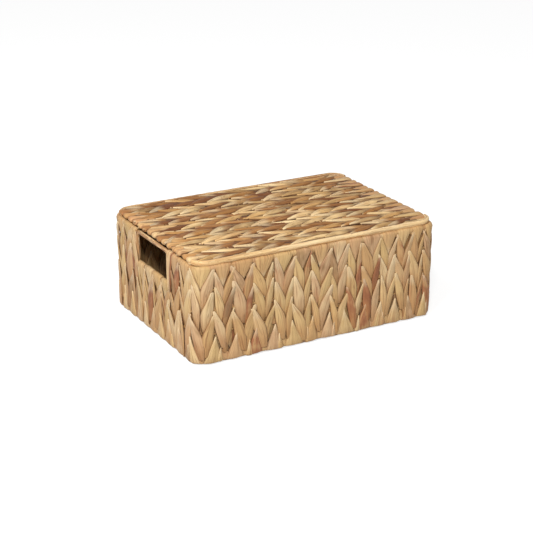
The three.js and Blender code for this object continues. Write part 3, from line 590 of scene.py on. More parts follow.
def dried_leaf(name, palette, dark, streak, tip, tucked_shade, outline, specks, roughness):
    """palette is the colours of whole leaves with their places from 0 to 1. tip is the colour of the
    tip end, its strength, its length in mm and how much that varies; a pale tip is partly bleached and partly
    a painted highlight. tucked_shade is the colour of the other end, painted shade where it goes under the
    next leaf, its strength, and how far from the tip in mm it starts and is strongest. outline is where the
    dark edges start, as a share of the half width, and their strength; these edges are partly the leaf's own
    and partly painted shade between leaves. specks is how strong the specks are."""
    material, tree = new_material(name)
    tone, number, across_mm, edge, along = [
        add(tree, "ShaderNodeAttribute", attribute_name=label).outputs["Fac"]
        for label in (TONE, NUMBER, ACROSS, EDGE, ALONG)]
    # A place on the leaf in millimetres, with every leaf in its own part of the noise.
    along_mm = add(tree, "ShaderNodeMath", {0: along, 1: 1 / MM}, operation="MULTIPLY")
    apart = add(tree, "ShaderNodeMath", {0: number, 1: APART}, operation="MULTIPLY")
    leaf_place = add(tree, "ShaderNodeCombineXYZ", {0: across_mm, 1: along_mm, 2: apart})
    noise = {}
    for label, (wide, long) in MARKS.items():
        place = add(tree, "ShaderNodeVectorMath", {0: leaf_place, 1: (1 / wide, 1 / long, 1.0)},
                    operation="MULTIPLY")
        noise[label] = add(tree, "ShaderNodeTexNoise",
                           {"Vector": place, "Scale": 1.0, "Detail": 2.0}).outputs["Fac"]
    # The colour of the whole leaf, a little uneven.
    shade = add(tree, "ShaderNodeMapRange", {"Value": tone, "From Min": -1.0, "From Max": 1.0})
    shade = add(tree, "ShaderNodeMath", {0: noise["stain"], 1: STAINED, 2: shade}, operation="MULTIPLY_ADD")
    shade = add(tree, "ShaderNodeMath", {0: shade, 1: STAINED / 2}, operation="SUBTRACT")
    colour = add(tree, "ShaderNodeValToRGB", {"Fac": shade})
    elements = colour.color_ramp.elements
    for i, (at, code) in enumerate(palette):
        element = elements[i] if i < 2 else elements.new(at)
        element.position = at
        element.color = linear(code)
    # What lies over it: painted shade on the end that goes in, a pale tip that is partly bleached and partly
    # a painted highlight, streaks, fibres, dark lines, edges that are partly painted shade, and specks. Some
    # leaves have a long pale tip and others none, and some have many specks.
    streaky = add(tree, "ShaderNodeMath", {0: number, 1: STREAKED, 2: noise["streak"]},
                  operation="MULTIPLY_ADD")
    # A dark line is where the noise crosses its middle.
    off_line = add(tree, "ShaderNodeMath", {0: noise["line"], 1: 0.5}, operation="SUBTRACT")
    off_line = add(tree, "ShaderNodeMath", {0: off_line}, operation="ABSOLUTE")
    tip_colour, tip_strength, tip_length, tip_varies = tip
    from_tip = add(tree, "ShaderNodeMath", {0: number, 1: -tip_varies, 2: along_mm}, operation="MULTIPLY_ADD")
    spots = add(tree, "ShaderNodeTexVoronoi", {"Vector": leaf_place, "Scale": 1 / SPECK}).outputs["Distance"]
    spots = add(tree, "ShaderNodeMath", {0: number, 1: -SPECKED, 2: spots}, operation="MULTIPLY_ADD")
    tucked_shade_colour, tucked_shade_strength, tucked_shade_start, tucked_shade_full = tucked_shade
    edge_start, edge_strength = outline
    for value, start, full, strength, code in (
            # the end that goes under the next leaf is painted darker, as painted shade
            (along_mm, tucked_shade_start, tucked_shade_full, tucked_shade_strength, tucked_shade_colour),
            # a pale tip is partly bleached and partly a painted highlight
            (from_tip, tip_length, 2.0, tip_strength, tip_colour),
            (streaky, 0.62, 0.74, 0.4, streak),
            (noise["fibre"], 0.5, 0.74, 0.5, dark),
            (off_line, 0.02, 0.004, 0.5, dark),
            # dark edges: partly the leaf's own and partly painted shade in the gaps between leaves
            (edge, edge_start, 1.0, edge_strength, dark),
            (spots, 0.14, 0.07, specks, dark)):
        amount = add(tree, "ShaderNodeMapRange",
                     {"Value": value, "From Min": start, "From Max": full, "To Max": strength},
                     interpolation_type="SMOOTHSTEP")
        colour = add(tree, "ShaderNodeMix", {0: amount, 6: colour, 7: linear(code)},
                     data_type="RGBA").outputs[2]
    # The fibres stand up a little and catch the light, which is what tells leaf from paint.
    rough = add(tree, "ShaderNodeMapRange",
                {"Value": noise["fibre"], "From Min": 0.3, "From Max": 0.7,
                 "To Min": roughness - 0.08, "To Max": roughness + 0.1})
    bump = add(tree, "ShaderNodeBump",
               {"Strength": 0.5, "Distance": FIBRE_HEIGHT, "Height": noise["fibre"]})
    leaf = add(tree, "ShaderNodeBsdfPrincipled",
               {"Base Color": colour, "Roughness": rough, "IOR": LEAF_IOR, "Normal": bump})
    add(tree, "ShaderNodeOutputMaterial", {"Surface": leaf})
    return material


# %% Dry the leaves of the mats
# Twined leaf is matt and straw-coloured, with pale tips, partly bleached and partly a painted highlight,
# and here and there a red-brown or greyish leaf. The end that goes in is painted browner as shade, and the
# edges are darker, partly as painted shade.
WALL_TONES = ((0.0, "#905A38"), (0.035, "#A66E48"), (0.06, "#C19766"), (0.25, "#D0AA72"), (0.4, "#C79E72"),
              (0.55, "#D7B57F"), (0.7, "#CAA870"), (0.83, "#DDBF90"), (0.93, "#C8A178"), (0.97, "#A5845C"),
              (1.0, "#94724E"))
wall_leaf = dried_leaf("water hyacinth leaf, dried and twined", WALL_TONES, dark="#7A4A2A", streak="#A0603A",
                       tip=("#E8D2AA", 0.5, 15.0, 10.0), tucked_shade=("#AE7A47", 0.55, 24.0, 56.0),
                       outline=(0.74, 0.65), specks=0.0, roughness=0.6)
# Oil makes the lid's leaves deeper and more unlike each other, with specks. Their dark edges are partly
# painted shade, their dark ends that go in are painted shade, and their pale tips are partly a painted
# highlight.
LID_TONES = ((0.0, "#6E3F1A"), (0.12, "#95632F"), (0.28, "#B37F44"), (0.42, "#DDB274"), (0.55, "#977142"),
             (0.7, "#F2CE94"), (0.85, "#BC884E"), (1.0, "#8E5C32"))
lid_leaf = dried_leaf("water hyacinth leaf, dried, twined and oiled", LID_TONES, dark="#4A2206",
                      streak="#8A4E28", tip=("#FFE8BA", 0.45, 18.0, 24.0), tucked_shade=("#4E2604", 0.45, 34.0, 56.0),
                      outline=(0.56, 0.95), specks=0.4, roughness=0.72)
# A leaf that is bent over the lid's end wire shows pale in the middle, with dark edges that are partly
# painted shade between the knuckles, and a few specks.
BENT_TONES = ((0.0, "#96602F"), (0.2, "#C28F55"), (0.42, "#E2B97F"), (0.6, "#B9844E"), (0.8, "#EBCB95"),
              (1.0, "#C68E5C"))
bent_leaf = dried_leaf("water hyacinth leaf, dried and bent over a wire", BENT_TONES, dark="#7A4A2A",
                       streak="#B9774C", tip=("#F4DBAC", 0.3, 15.0, 10.0), tucked_shade=("#D9AE78", 0.2, 24.0, 56.0),
                       outline=(0.7, 0.9), specks=0.3, roughness=0.6)
print("leaf materials", [m.name for m in (wall_leaf, lid_leaf, bent_leaf)])

# %% Dry the strips
# A strip that is drawn smooth is the palest and has the most sheen.
BINDING_TONES = ((0.0, "#C08D55"), (0.15, "#E3BE86"), (0.6, "#F0D3A2"), (1.0, "#E6C48E"))
binding_leaf = dried_leaf("water hyacinth strip, dried and drawn smooth", BINDING_TONES, dark="#9A683A",
                          streak="#B98350", tip=("#D8AC70", 0.5, 15.0, 10.0),
                          tucked_shade=("#F0CE98", 0.0, 24.0, 56.0), outline=(0.78, 0.6), specks=0.3, roughness=0.5)
# A strip that is wound round a wire is browner, partly of itself and partly as painted shade, for it lies
# under the lid or at its back; it is less even in tone, and a little duller.
GRIP_TONES = ((0.0, "#8E5832"), (0.1, "#B48455"), (0.4, "#CDA470"), (0.7, "#DFBD8D"), (1.0, "#C79F72"))
grip_leaf = dried_leaf("water hyacinth strip, dried and wound round a wire", GRIP_TONES, dark="#6E4426",
                       streak="#A0653C", tip=("#E6D0A8", 0.2, 15.0, 10.0),
                       tucked_shade=("#CDA470", 0.0, 24.0, 56.0), outline=(0.78, 0.6), specks=0.0, roughness=0.55)
print("strip materials", [m.name for m in (binding_leaf, grip_leaf)])

# %% [markdown]
# ## Paths
# A wall's mat follows the line of its ring wires: from one hand hole along the end, round the corner,
# along the side, round the next corner, to the other hand hole. Under a hand hole it is a straight line.
# The lid and the base lie on straight lines across their width. A curve object holds each path.

# %% Draw the paths
RUN_ON = 40 * MM  # a path goes on past the mat, so that a leaf at the edge is not squeezed
ARC_STEPS = 12


def path_object(name, points):
    curve = bpy.data.curves.new(name, "CURVE")
    curve.dimensions = "3D"
    spline = curve.splines.new("POLY")
    spline.points.add(len(points) - 1)
    for point, place in zip(spline.points, points):
        point.co = (*place, 1.0)
    return bpy.data.objects.new(name, curve)


def corner_arc(x, y, radius, start, z=0.0):
    angles = [start + math.pi / 2 * i / ARC_STEPS for i in range(ARC_STEPS + 1)]
    return [Vector((x + radius * math.cos(a), y + radius * math.sin(a), z)) for a in angles]


hole_end = HOLE_HALF - RUN_ON
front_line = [Vector((-WALL_X, -hole_end, 0)), *corner_arc(-CORNER_X, -CORNER_Y, CORNER, math.pi),
              *corner_arc(CORNER_X, -CORNER_Y, CORNER, 1.5 * math.pi), Vector((WALL_X, -hole_end, 0))]
end_half = HOLE_HALF + RUN_ON
front_path = path_object("front_path", front_line)
back_path = path_object("back_path", [Vector((-p.x, -p.y, 0)) for p in front_line])
left_path = path_object("left_path", [Vector((-WALL_X, end_half, 0)), Vector((-WALL_X, -end_half, 0))])
right_path = path_object("right_path", [Vector((WALL_X, -end_half, 0)), Vector((WALL_X, end_half, 0))])
SHELL_SPAN = sum((b - a).length for a, b in zip(front_line, front_line[1:])) - 2 * RUN_ON
print("the front mat is", round(SHELL_SPAN / MM, 1), "mm long")

# %% [markdown]
# ## Weaving a mat
# A mat is several courses, each one Geometry Nodes modifier on the same object. The finished mat is
# turned into a plain mesh, and the modifiers are taken off.

# %% Define the weaver
UP = (0.0, 0.0, 1.0)
NO_TURN = (0.0, 0.0, 0.0)
FACE_IN = (0.0, 0.0, math.pi)
UPSIDE_DOWN = (0.0, math.pi, 0.0)
UPSIDE_DOWN_IN = (0.0, math.pi, math.pi)
SEED_STEP = 10  # between the courses of a mat
socket_of = {item.name: item.identifier
             for item in course_tree.interface.items_tree if item.in_out == "INPUT"}
USUAL = {"Along": UP, "Start": RUN_ON, "Squeeze": 0.0, "Wander": 2.9 * MM, "Step": 1, "Offset": 0, "Reach": 1,
         "Rows": 1, "Row pitch": 0.0, "Leaf width": WALL_COLUMN, "Stretch": 1.0, "Lift": 0.0, "Turn": NO_TURN,
         "Slide": 7.5 * MM, "Sway": math.radians(6.5), "Swell": 0.16, "Uneven": 0.08, "Rise": 0.4 * MM,
         "Kinds": len(LEAVES)}
FOLDS = {"Slide": 0.4 * MM, "Sway": 0.0, "Swell": 0.06, "Uneven": 0.0, "Rise": 0.0, "Step": 2, "Reach": 2}


def plain_mesh(piece):
    """Turns what a piece's modifiers make into its own plain mesh."""
    shown = piece.evaluated_get(bpy.context.evaluated_depsgraph_get())
    mesh = bpy.data.meshes.new_from_object(shown)
    piece.modifiers.clear()
    piece.data = mesh


def weave(name, courses):
    piece = bpy.data.objects.new(name, bpy.data.meshes.new(name))
    bpy.context.scene.collection.objects.link(piece)
    for number, course in enumerate(courses):
        modifier = piece.modifiers.new(f"course {number}", "NODES")
        modifier.node_group = course_tree
        for label, value in {**USUAL, "Leaf seed": course["Seed"] + SEED_STEP * number, **course}.items():
            modifier[socket_of[label]] = value
    plain_mesh(piece)
    piece.data.name = name
    print(name, len(courses), "courses,", len(piece.data.polygons), "faces")
    return piece


print(len(USUAL), "usual settings of a course, and", len(FOLDS), "that folded ends have of their own")

# %% Define the courses of a mat
CORE_SHORT = 8 * MM  # how much shorter an inner leaf is than its mat


def both_faces(course):
    """The same course on the outer and on the inner face of a mat."""
    return [course, {**course, "Turn": FACE_IN}]


def fold_courses(mat, pairs, folds, fills, height, turn, turn_in, on_valleys, past=0):
    """Leaf ends folded round an edge wire: broad ones on one kind of line, and fills under them on the
    other. past is how many more ends lie past each end of the mat, where the next mat goes on."""
    valleys = {**mat, **FOLDS, "Count": pairs, "Offset": 0}
    peaks = {**mat, **FOLDS, "Count": pairs - 1 + 2 * past, "Offset": 1 - 2 * past}
    broad, under = (valleys, peaks) if on_valleys else (peaks, valleys)
    place = {"First row": height, "Leaf width": 2 * mat["Leaf width"]}
    return [{**broad, **place, "Leaves": folds, "Turn": turn},
            {**under, **place, "Leaves": fills, "Turn": turn_in}]


def core_course(mat, start, end, lift):
    """One long inner leaf behind each column, from start to end along the plaits."""
    still = {"Slide": 0.0, "Sway": 0.0, "Uneven": 0.0, "Rise": 0.0}
    return [{**mat, **still, "Leaves": core_leaves, "Count": mat["Columns"], "First row": (start + end) / 2,
             "Lift": lift, "Stretch": (end - start - CORE_SHORT) / (2 * CORE_HALF)}]


print("an inner leaf in a wall is", round((RIM - FOOT - CORE_SHORT) / MM, 1), "mm long")

# %% Weave the front and back walls
PAIRS = 19
CLOSER = 0.22  # how much the columns close up from one end of the mat to the other
FOOT_FOLD = FOOT + 1.5 * MM  # the crowned folds are thicker than the wire's own cover
CORE_LIFT = -1.5 * MM  # the inner leaves lie nearer to the inside, so that the gaps between segments are deep
TOP_ROW = RINGS[2] - 2 * MM  # a little under its ring, to leave room for the folds
STRIP_EVERY = 3  # columns from one narrow strip at the foot to the next


def wall_courses(path, seed):
    mat = {"Path": path, "Material": wall_leaf, "Span": SHELL_SPAN, "Columns": 2 * PAIRS,
           "Squeeze": CLOSER, "Seed": seed, "Leaf width": WALL_COLUMN}
    arms = {**mat, "Leaves": wall_segments, "Count": 2 * PAIRS}
    upper = both_faces({**arms, "First row": RINGS[1]})
    top = both_faces({**arms, "First row": TOP_ROW, "Slide": 3.5 * MM, "Uneven": 0.04})
    lower = both_faces({**arms, "Leaves": foot_segments, "First row": RINGS[0]})
    inner = core_course(mat, FOOT, RIM, CORE_LIFT)
    rim = fold_courses(mat, PAIRS, rim_folds, rim_fills, RIM, NO_TURN, FACE_IN, True)
    foot = fold_courses(mat, PAIRS, foot_folds, wall_fills, FOOT_FOLD, UPSIDE_DOWN, UPSIDE_DOWN_IN, False, 1)
    strips = {**mat, **FOLDS, "Leaves": foot_strips, "Count": 2 * PAIRS // STRIP_EVERY, "Step": STRIP_EVERY,
              "Reach": 1, "Swell": 0.4, "Uneven": 0.1, "First row": FOOT_FOLD, "Turn": UPSIDE_DOWN}
    return inner + lower + upper + top + rim + foot + [strips]


woven_front = weave("woven_front", wall_courses(front_path, 100))
woven_back = weave("woven_back", wall_courses(back_path, 2000))

# %% Weave the ends under the hand holes
END_PAIRS = 4
END_ROW = RINGS[1] - 16 * MM  # under its ring, so that the tips stay under the sill


def end_courses(path, seed):
    mat = {"Path": path, "Material": wall_leaf, "Span": 2 * HOLE_HALF, "Columns": 2 * END_PAIRS, "Seed": seed,
           "Leaf width": WALL_COLUMN}
    arms = {**mat, "Leaves": wall_segments, "Count": 2 * END_PAIRS}
    upper = both_faces({**arms, "First row": END_ROW, "Slide": 0.8 * MM, "Uneven": 0.02})
    lower = both_faces({**arms, "Leaves": foot_segments, "First row": RINGS[0]})
    inner = core_course(mat, FOOT, SILL, CORE_LIFT)
    sill = fold_courses(mat, END_PAIRS, sill_folds, wall_fills, SILL, NO_TURN, FACE_IN, True)
    foot = fold_courses(mat, END_PAIRS, foot_folds, wall_fills, FOOT_FOLD, UPSIDE_DOWN, UPSIDE_DOWN_IN, False)
    return inner + upper + lower + sill + foot


woven_left = weave("woven_left", end_courses(left_path, 4000))
woven_right = weave("woven_right", end_courses(right_path, 6000))

# %% [markdown]
# ## The lid and the base
# Both are flat mats over cross wires, woven by the same tree. Their plaits run along the length, so
# the direction along the plaits is -X and the face looks up. Some leaves would stick out of the edge
# and of the round corners of the frame, so they are drawn in to the outline.

# %% Define what the flat mats need
LEFTWARDS = (-1.0, 0.0, 0.0)


def cross_wires(prefix):
    """Where the first cross wire of a mat lies, how far apart they are, and how many there are."""
    first_low, first_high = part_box(f"{prefix}_1")
    next_low, next_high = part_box(f"{prefix}_2")
    first = first_low.x + first_high.x
    return first / 2, (first - next_low.x - next_high.x) / 2, sum(name.startswith(prefix) for name in nodes)


def cross_path(name, x, low_y, high_y, z):
    return path_object(name, [Vector((x, low_y - RUN_ON, z)), Vector((x, high_y + RUN_ON, z))])


def drawn_in(piece, half_x, half_y, radius):
    """Pulls the points that lie outside a rectangle with round corners back to its outline."""
    moved = 0
    for vertex in piece.data.vertices:
        x, y = abs(vertex.co.x), abs(vertex.co.y)
        over = Vector((max(0, x - half_x + radius), max(0, y - half_y + radius)))
        if over.length > radius:
            over = over * (radius / over.length)
            vertex.co.x = math.copysign(min(x, half_x - radius) + over.x, vertex.co.x)
            vertex.co.y = math.copysign(min(y, half_y - radius) + over.y, vertex.co.y)
            moved += 1
    print(piece.name, "has", moved, "points drawn in to its outline")


for prefix in ("lid_cross_wire", "base_cross_wire"):
    print(cross_wires(prefix)[2], "wires named", prefix)

# %% Cut the folded ends of the lid
lid_low, lid_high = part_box("lid_mat")
LID_MIDDLE = (lid_low.z + lid_high.z) / 2
LID_HALF = (lid_high.z - lid_low.z) / 2
LID_FOLD = LID_HALF - FOLD_THICK
PROUD = 1.0 * MM  # how far the bent ends at the left stand proud of the mat, as a row of knuckles
END_HALF = 0.5 * LID_COLUMN
far_folds = fold_box("far_fold", leg=30 * MM, half=END_HALF, radius=LID_FOLD + PROUD,
                     apex=UNDER, back_leg=14 * MM, cup=ROUND)
far_fills = fold_box("far_fill", leg=20 * MM, half=END_HALF, radius=LID_FOLD + PROUD,
                     apex=UNDER, back_leg=30 * MM, cup=ROUND)
near_folds = fold_box("near_fold", leg=46 * MM, half=0.6 * LID_COLUMN, radius=LID_FOLD,
                      apex=OVER, back_leg=14 * MM, cup=CROWNED)
lid_fills = fold_box("lid_fill", leg=40 * MM, half=END_HALF, radius=LID_FOLD,
                     apex=UNDER, back_leg=30 * MM, cup=ROUND)
print("the lid is", round(2 * LID_HALF / MM, 1), "mm thick")

# %% Weave the lid
LID_PAIRS = 8
ASKEW = math.radians(8)  # the plaits of the lid are pulled askew: all tips point a little to the front
ASKEW_SHIFT = 3 * MM  # which makes room for the tips along the front edge
lid_first, lid_pitch, lid_wires = cross_wires("lid_cross_wire")
lid_span = lid_high.y - lid_low.y
lid_path = cross_path("lid_path", lid_high.x, lid_low.y, lid_high.y, LID_MIDDLE)
end_path = cross_path("lid_end_path", lid_high.x, lid_low.y, lid_high.y, LID_MIDDLE + PROUD)


def lid_courses():
    mat = {"Path": lid_path, "Along": LEFTWARDS, "Material": lid_leaf, "Span": lid_span,
           "Columns": 2 * LID_PAIRS, "Seed": 8300, "Leaf width": LID_COLUMN, "Wander": 2.6 * MM}
    arms = {**mat, "Count": 2 * LID_PAIRS, "Rows": lid_wires, "First row": lid_high.x - lid_first,
            "Row pitch": lid_pitch}
    top = {**arms, "Leaves": lid_segments, "Turn": (0.0, -ASKEW, 0.0), "Start": RUN_ON + ASKEW_SHIFT,
           "Span": lid_span - ASKEW_SHIFT, "Slide": 6.5 * MM, "Sway": math.radians(6), "Swell": 0.16,
           "Uneven": 0.16}
    under = {**arms, "Leaves": under_segments, "Turn": FACE_IN}
    far_end = lid_high.x - lid_low.x - LID_HALF
    inner = core_course(mat, LID_HALF, far_end, 0.0)
    bent = {**mat, "Material": bent_leaf, "Path": end_path}
    far = fold_courses(bent, LID_PAIRS, far_folds, far_fills, far_end, NO_TURN, FACE_IN, True)
    plain = {**mat, "Material": wall_leaf}
    near = fold_courses(plain, LID_PAIRS, near_folds, lid_fills, LID_HALF, UPSIDE_DOWN, UPSIDE_DOWN_IN, False)
    return inner + [top, under] + far + near


lid_weave = weave("lid_weave", lid_courses())
edge_low, edge_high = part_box("lid_binding_front")
LID_RADIUS = edge_high.y - edge_low.y
drawn_in(lid_weave, edge_high.x + PROUD, -edge_low.y, LID_RADIUS)

# %% Weave the base
BASE_PAIRS = 8
TUCKED_IN = 2 * MM  # how far the ends of the base leaves reach into the walls
base_low, base_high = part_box("base_mat")
base_x, base_y = base_high.x + TUCKED_IN, base_high.y + TUCKED_IN
base_first, base_pitch, base_wires = cross_wires("base_cross_wire")
base_path = cross_path("base_path", base_x, -base_y, base_y, (base_low.z + base_high.z) / 2)


def base_courses():
    mat = {"Path": base_path, "Along": LEFTWARDS, "Material": wall_leaf, "Span": 2 * base_y,
           "Columns": 2 * BASE_PAIRS, "Seed": 9000, "Leaf width": LID_COLUMN}
    arms = both_faces({**mat, "Leaves": under_segments, "Count": 2 * BASE_PAIRS, "Rows": base_wires,
                       "First row": base_x - base_first, "Row pitch": base_pitch,
                       "Stretch": base_pitch / lid_pitch, "Rise": 0.0})
    far_end = 2 * base_x - LID_HALF
    far = fold_courses(mat, BASE_PAIRS, near_folds, lid_fills, far_end, NO_TURN, FACE_IN, True)
    near = fold_courses(mat, BASE_PAIRS, near_folds, lid_fills, LID_HALF, UPSIDE_DOWN, UPSIDE_DOWN_IN, False)
    return core_course(mat, LID_HALF, far_end, 0.0) + arms + far + near


base_weave = weave("base_weave", base_courses())
drawn_in(base_weave, base_x, base_y, CORNER)

# %% [markdown]
# ## Strips along the wires
# Long leaf strips run along some wires: round the bar over each hand hole and down its two sides, along
# the rim under the folds, and round the edge of the lid. They are few and each has its own line, so they
# are lofted straight along that line instead of being placed by the tree.

# %% Wind strips along a line
chooser = random.Random(5)
WOUND_CUP = 0.5
WAVE = 0.12  # how far the width of a wound strip varies, as a share
WAVE_ALONG, WAVE_ROUND = 1.7, 2.3  # radians of that wave from point to point, and from strip to strip


def line_frames(points):
    """The direction along a line at each of its points."""
    last = len(points) - 1
    return [(points[min(i + 1, last)] - points[max(i - 1, 0)]).normalized() for i in range(last + 1)]


def wound_strips(points, away, count, radius, half, thick, twist):
    """Strips side by side round a wire. away is a direction that is never along the wire, and twist is
    the turn of a strip over the whole line."""
    leaves = []
    for number in range(count):
        crease = chooser.choice(LEAVES)[0]
        stations = []
        for i, (at, line) in enumerate(zip(points, line_frames(points))):
            first = line.cross(away).normalized()
            second = line.cross(first)
            angle = TURN * number / count + twist * i / (len(points) - 1)
            out = first * math.cos(angle) + second * math.sin(angle)
            wave = 1 + WAVE * math.sin(WAVE_ALONG * i + WAVE_ROUND * number)
            stations.append((at + out * radius, line.cross(out), out, half * wave, thick))
        section = leaf_section(crease, WOUND_CUP)
        leaves.append((stations, section, chooser.uniform(-1, 1), chooser.uniform(-1, 1)))
    return leaves


def strip_piece(name, leaves, material):
    piece = bpy.data.objects.new(name, loft_leaves(name, leaves))
    bpy.context.scene.collection.objects.link(piece)
    piece.data.materials.append(material)
    print(name, len(leaves), "strips,", len(piece.data.polygons), "faces")
    return piece


def spaced(a, b, step):
    count = max(1, round((b - a).length / step))
    return [a.lerp(b, i / count) for i in range(count + 1)]


print("a wound strip varies by", WAVE, "of its width")

# %% Define the flat strips beside a hand hole
JAMB_CUP = 0.6
# For each strip: how far from the hole, how much further its top leans, half the width, the tone.
JAMB = ((1.5 * MM, 0.0, 2.0 * MM, 0.3), (6.0 * MM, 2.5 * MM, 4.2 * MM, 0.7),
        (9.0 * MM, 7.0 * MM, 2.6 * MM, -1.0))
JAMB_HEIGHTS = (-8 * MM, 6 * MM, 18 * MM, 30 * MM)  # from the sill up the outside
JAMB_TURNS = (0, 0.8, math.pi / 2, 2.3, math.pi)  # radians round the rim
JAMB_WIDTHS = (0.35, 0.8, 1.0, 1.0, 1.0, 1.0, 1.0, 1.0, 0.9, 0.4)  # shares, from end to end
JAMB_INSIDE = 14 * MM  # how far a strip goes down inside
JAMB_THICK = 1.0 * MM
JAMB_WAVE = 0.6 * MM  # how far a strip wanders to its sides
JAMB_ALONG, JAMB_APART = 1.3, 40  # radians of that wave from point to point, and per mm of half width
JAMB_SUNK = 0.2 * MM  # how far it lies in from the face of the wall


def jamb_strip(x, side, beside, lean, half, tone):
    """A flat strip up the outside of the wall, over the rim and a little way down inside."""
    outside = Vector((math.copysign(1, x), 0, 0))
    places = [(outside, SILL + height) for height in JAMB_HEIGHTS]
    places += [(outside * math.cos(a) + Vector(UP) * math.sin(a), RIM) for a in JAMB_TURNS]
    places.append((-outside, RIM - JAMB_INSIDE))
    stations = []
    for i, ((out, z), width) in enumerate(zip(places, JAMB_WIDTHS)):
        higher = min(1.0, max(0.0, (z - SILL) / (RIM - SILL)))
        y = side * (HOLE_HALF + beside + lean * higher ** 2)
        wander = JAMB_WAVE * math.sin(JAMB_ALONG * i + JAMB_APART * half / MM)
        at = Vector((x, y + wander, z)) + out * (WALL_HALF - JAMB_SUNK)
        stations.append((at, Vector((0, 1, 0)), out, half * width, JAMB_THICK))
    return stations, leaf_section(chooser.choice(LEAVES)[0], JAMB_CUP), tone, chooser.uniform(-1, 1)


# The slanted leaf: how far its ends lie beside the hole, over the sill or under the rim, and in the wall.
BLADE_HIGH = (11 * MM, 8 * MM, 0.8 * MM)
BLADE_LOW = (-3 * MM, -6 * MM, 0.6 * MM)
BLADE_OUTLINE = ((0, 0.8 * MM), (0.12, 2.6 * MM), (0.35, 4.2 * MM), (0.65, 4.4 * MM), (0.88, 3.0 * MM),
                 (1, 1.0 * MM))  # shares of its length, and half its width there
BLADE_THICK = 1.2 * MM
BLADE_RISE = 0.8 * MM  # how far its middle stands out
BLADE_TONE = 0.35


def jamb_blade(x, side):
    """A slanted leaf on the outside of the wall that cuts off the lower corner of the hole."""
    out = Vector((math.copysign(1, x), 0, 0))
    beside, below, sunk = BLADE_HIGH
    high = Vector((x, side * (HOLE_HALF + beside), RIM - below)) + out * (WALL_HALF - sunk)
    beside, above, sunk = BLADE_LOW
    low = Vector((x, side * (HOLE_HALF + beside), SILL + above)) + out * (WALL_HALF - sunk)
    across = out.cross(low - high).normalized()
    stations = []
    for share, half in BLADE_OUTLINE:
        at = high.lerp(low, share) + out * (BLADE_RISE * math.sin(math.pi * share))
        stations.append((at, across, out, half, BLADE_THICK))
    return stations, leaf_section(LEAVES[0][0], JAMB_CUP), BLADE_TONE, chooser.uniform(-1, 1)


print(len(JAMB), "strips on one side of a hand hole and one slanted leaf on the other")

# %% Wind the grips and the sides of the hand holes
BEND = 11 * MM  # radius of a strip's turn from the bar to the side
LAP = 6 * MM  # how far the strips from both sides pass the middle of the bar
PAST_SILL = 4 * MM
GRIP_STEP = 8 * MM
GRIP_WIND = {"count": 5, "radius": 1.9 * MM, "half": 2.2 * MM, "thick": 0.8 * MM}
GRIP_TWIST = 0.8


def hole_strips(x):
    """Strips from the middle of the bar, round the upper corner of the hole and down the side."""
    leaves = []
    for side in (-1, 1):
        bar = spaced(Vector((x, -side * LAP, RIM)), Vector((x, side * (LEG - BEND), RIM)), GRIP_STEP)
        bend = [Vector((x, side * (LEG - BEND + BEND * math.sin(a)), RIM - BEND + BEND * math.cos(a)))
                for a in (math.pi / 8, math.pi / 4, 3 * math.pi / 8)]
        leg = spaced(Vector((x, side * LEG, RIM - BEND)), Vector((x, side * LEG, SILL - PAST_SILL)),
                     GRIP_STEP)
        leaves += wound_strips(bar + bend + leg, Vector((1, 0, 0)), twist=GRIP_TWIST * side, **GRIP_WIND)
        if side * x > 0:
            leaves += [jamb_strip(x, side, *sizes) for sizes in JAMB]
        else:
            leaves.append(jamb_blade(x, side))
    return leaves


grip_wrap_left = strip_piece("grip_wrap_left", hole_strips(-WALL_X), grip_leaf)
grip_wrap_right = strip_piece("grip_wrap_right", hole_strips(WALL_X), grip_leaf)

# %% Wind the rim under the folds
RIM_STEP = 12 * MM
RIM_WIND = {"count": 5, "radius": 2.1 * MM, "half": 2.4 * MM, "thick": 0.9 * MM, "twist": 9.0}
rim_line = [Vector((p.x, p.y, RIM)) for p in front_line]
rim_line[0].y = rim_line[-1].y = -LEG
front_points = [p for a, b in zip(rim_line, rim_line[1:]) for p in spaced(a, b, RIM_STEP)[:-1]]
front_points.append(rim_line[-1])
back_points = [Vector((-p.x, -p.y, p.z)) for p in front_points]
front_rim = wound_strips(front_points, Vector(UP), **RIM_WIND)
back_rim = wound_strips(back_points, Vector(UP), **RIM_WIND)
rim_roll = strip_piece("rim_roll", front_rim + back_rim, wall_leaf)

# %% Bind the lid's edge
EDGE_X = edge_high.x - LID_HALF
EDGE_Y = -edge_low.y - LID_HALF
EDGE_RADIUS = LID_RADIUS - LID_HALF
# The strips round the edge wire: the angle up from its outside, half the width, how far it is bent round
# the wire in thicknesses, and how far it lies above the others. The last one is broad and closes the edge.
EDGE_STRIPS = ((-150, 3.0 * MM, 0.6, 0.0), (-100, 3.0 * MM, 0.6, 1.3 * MM), (-60, 3.0 * MM, 0.6, 0.6 * MM),
               (-15, 3.0 * MM, 0.6, 0.0), (140, 3.0 * MM, 0.6, 0.0), (85, 3.0 * MM, 0.6, 0.0),
               (25, 3.6 * MM, 2.6, 0.7 * MM))
EDGE_STEP = 5 * MM
EDGE_THICK = 0.9 * MM
STRIP_STEPS = (22, 36)  # how many points long a strip is
TAPER = 4  # points over which the end of a strip narrows
BLUNT_STRIP = 0.6  # points by which the end of a strip is wider than a sharp one
DRIFT = 0.008  # radians that a strip may wander round the wire from point to point
# How far a strip lies from the middle of the wire, in mm: at its narrow ends, how much more where it is
# broad, and how uneven it is.
EDGE_LIES, EDGE_RISES, EDGE_UNEVEN = 1.5, 1.0, 0.2


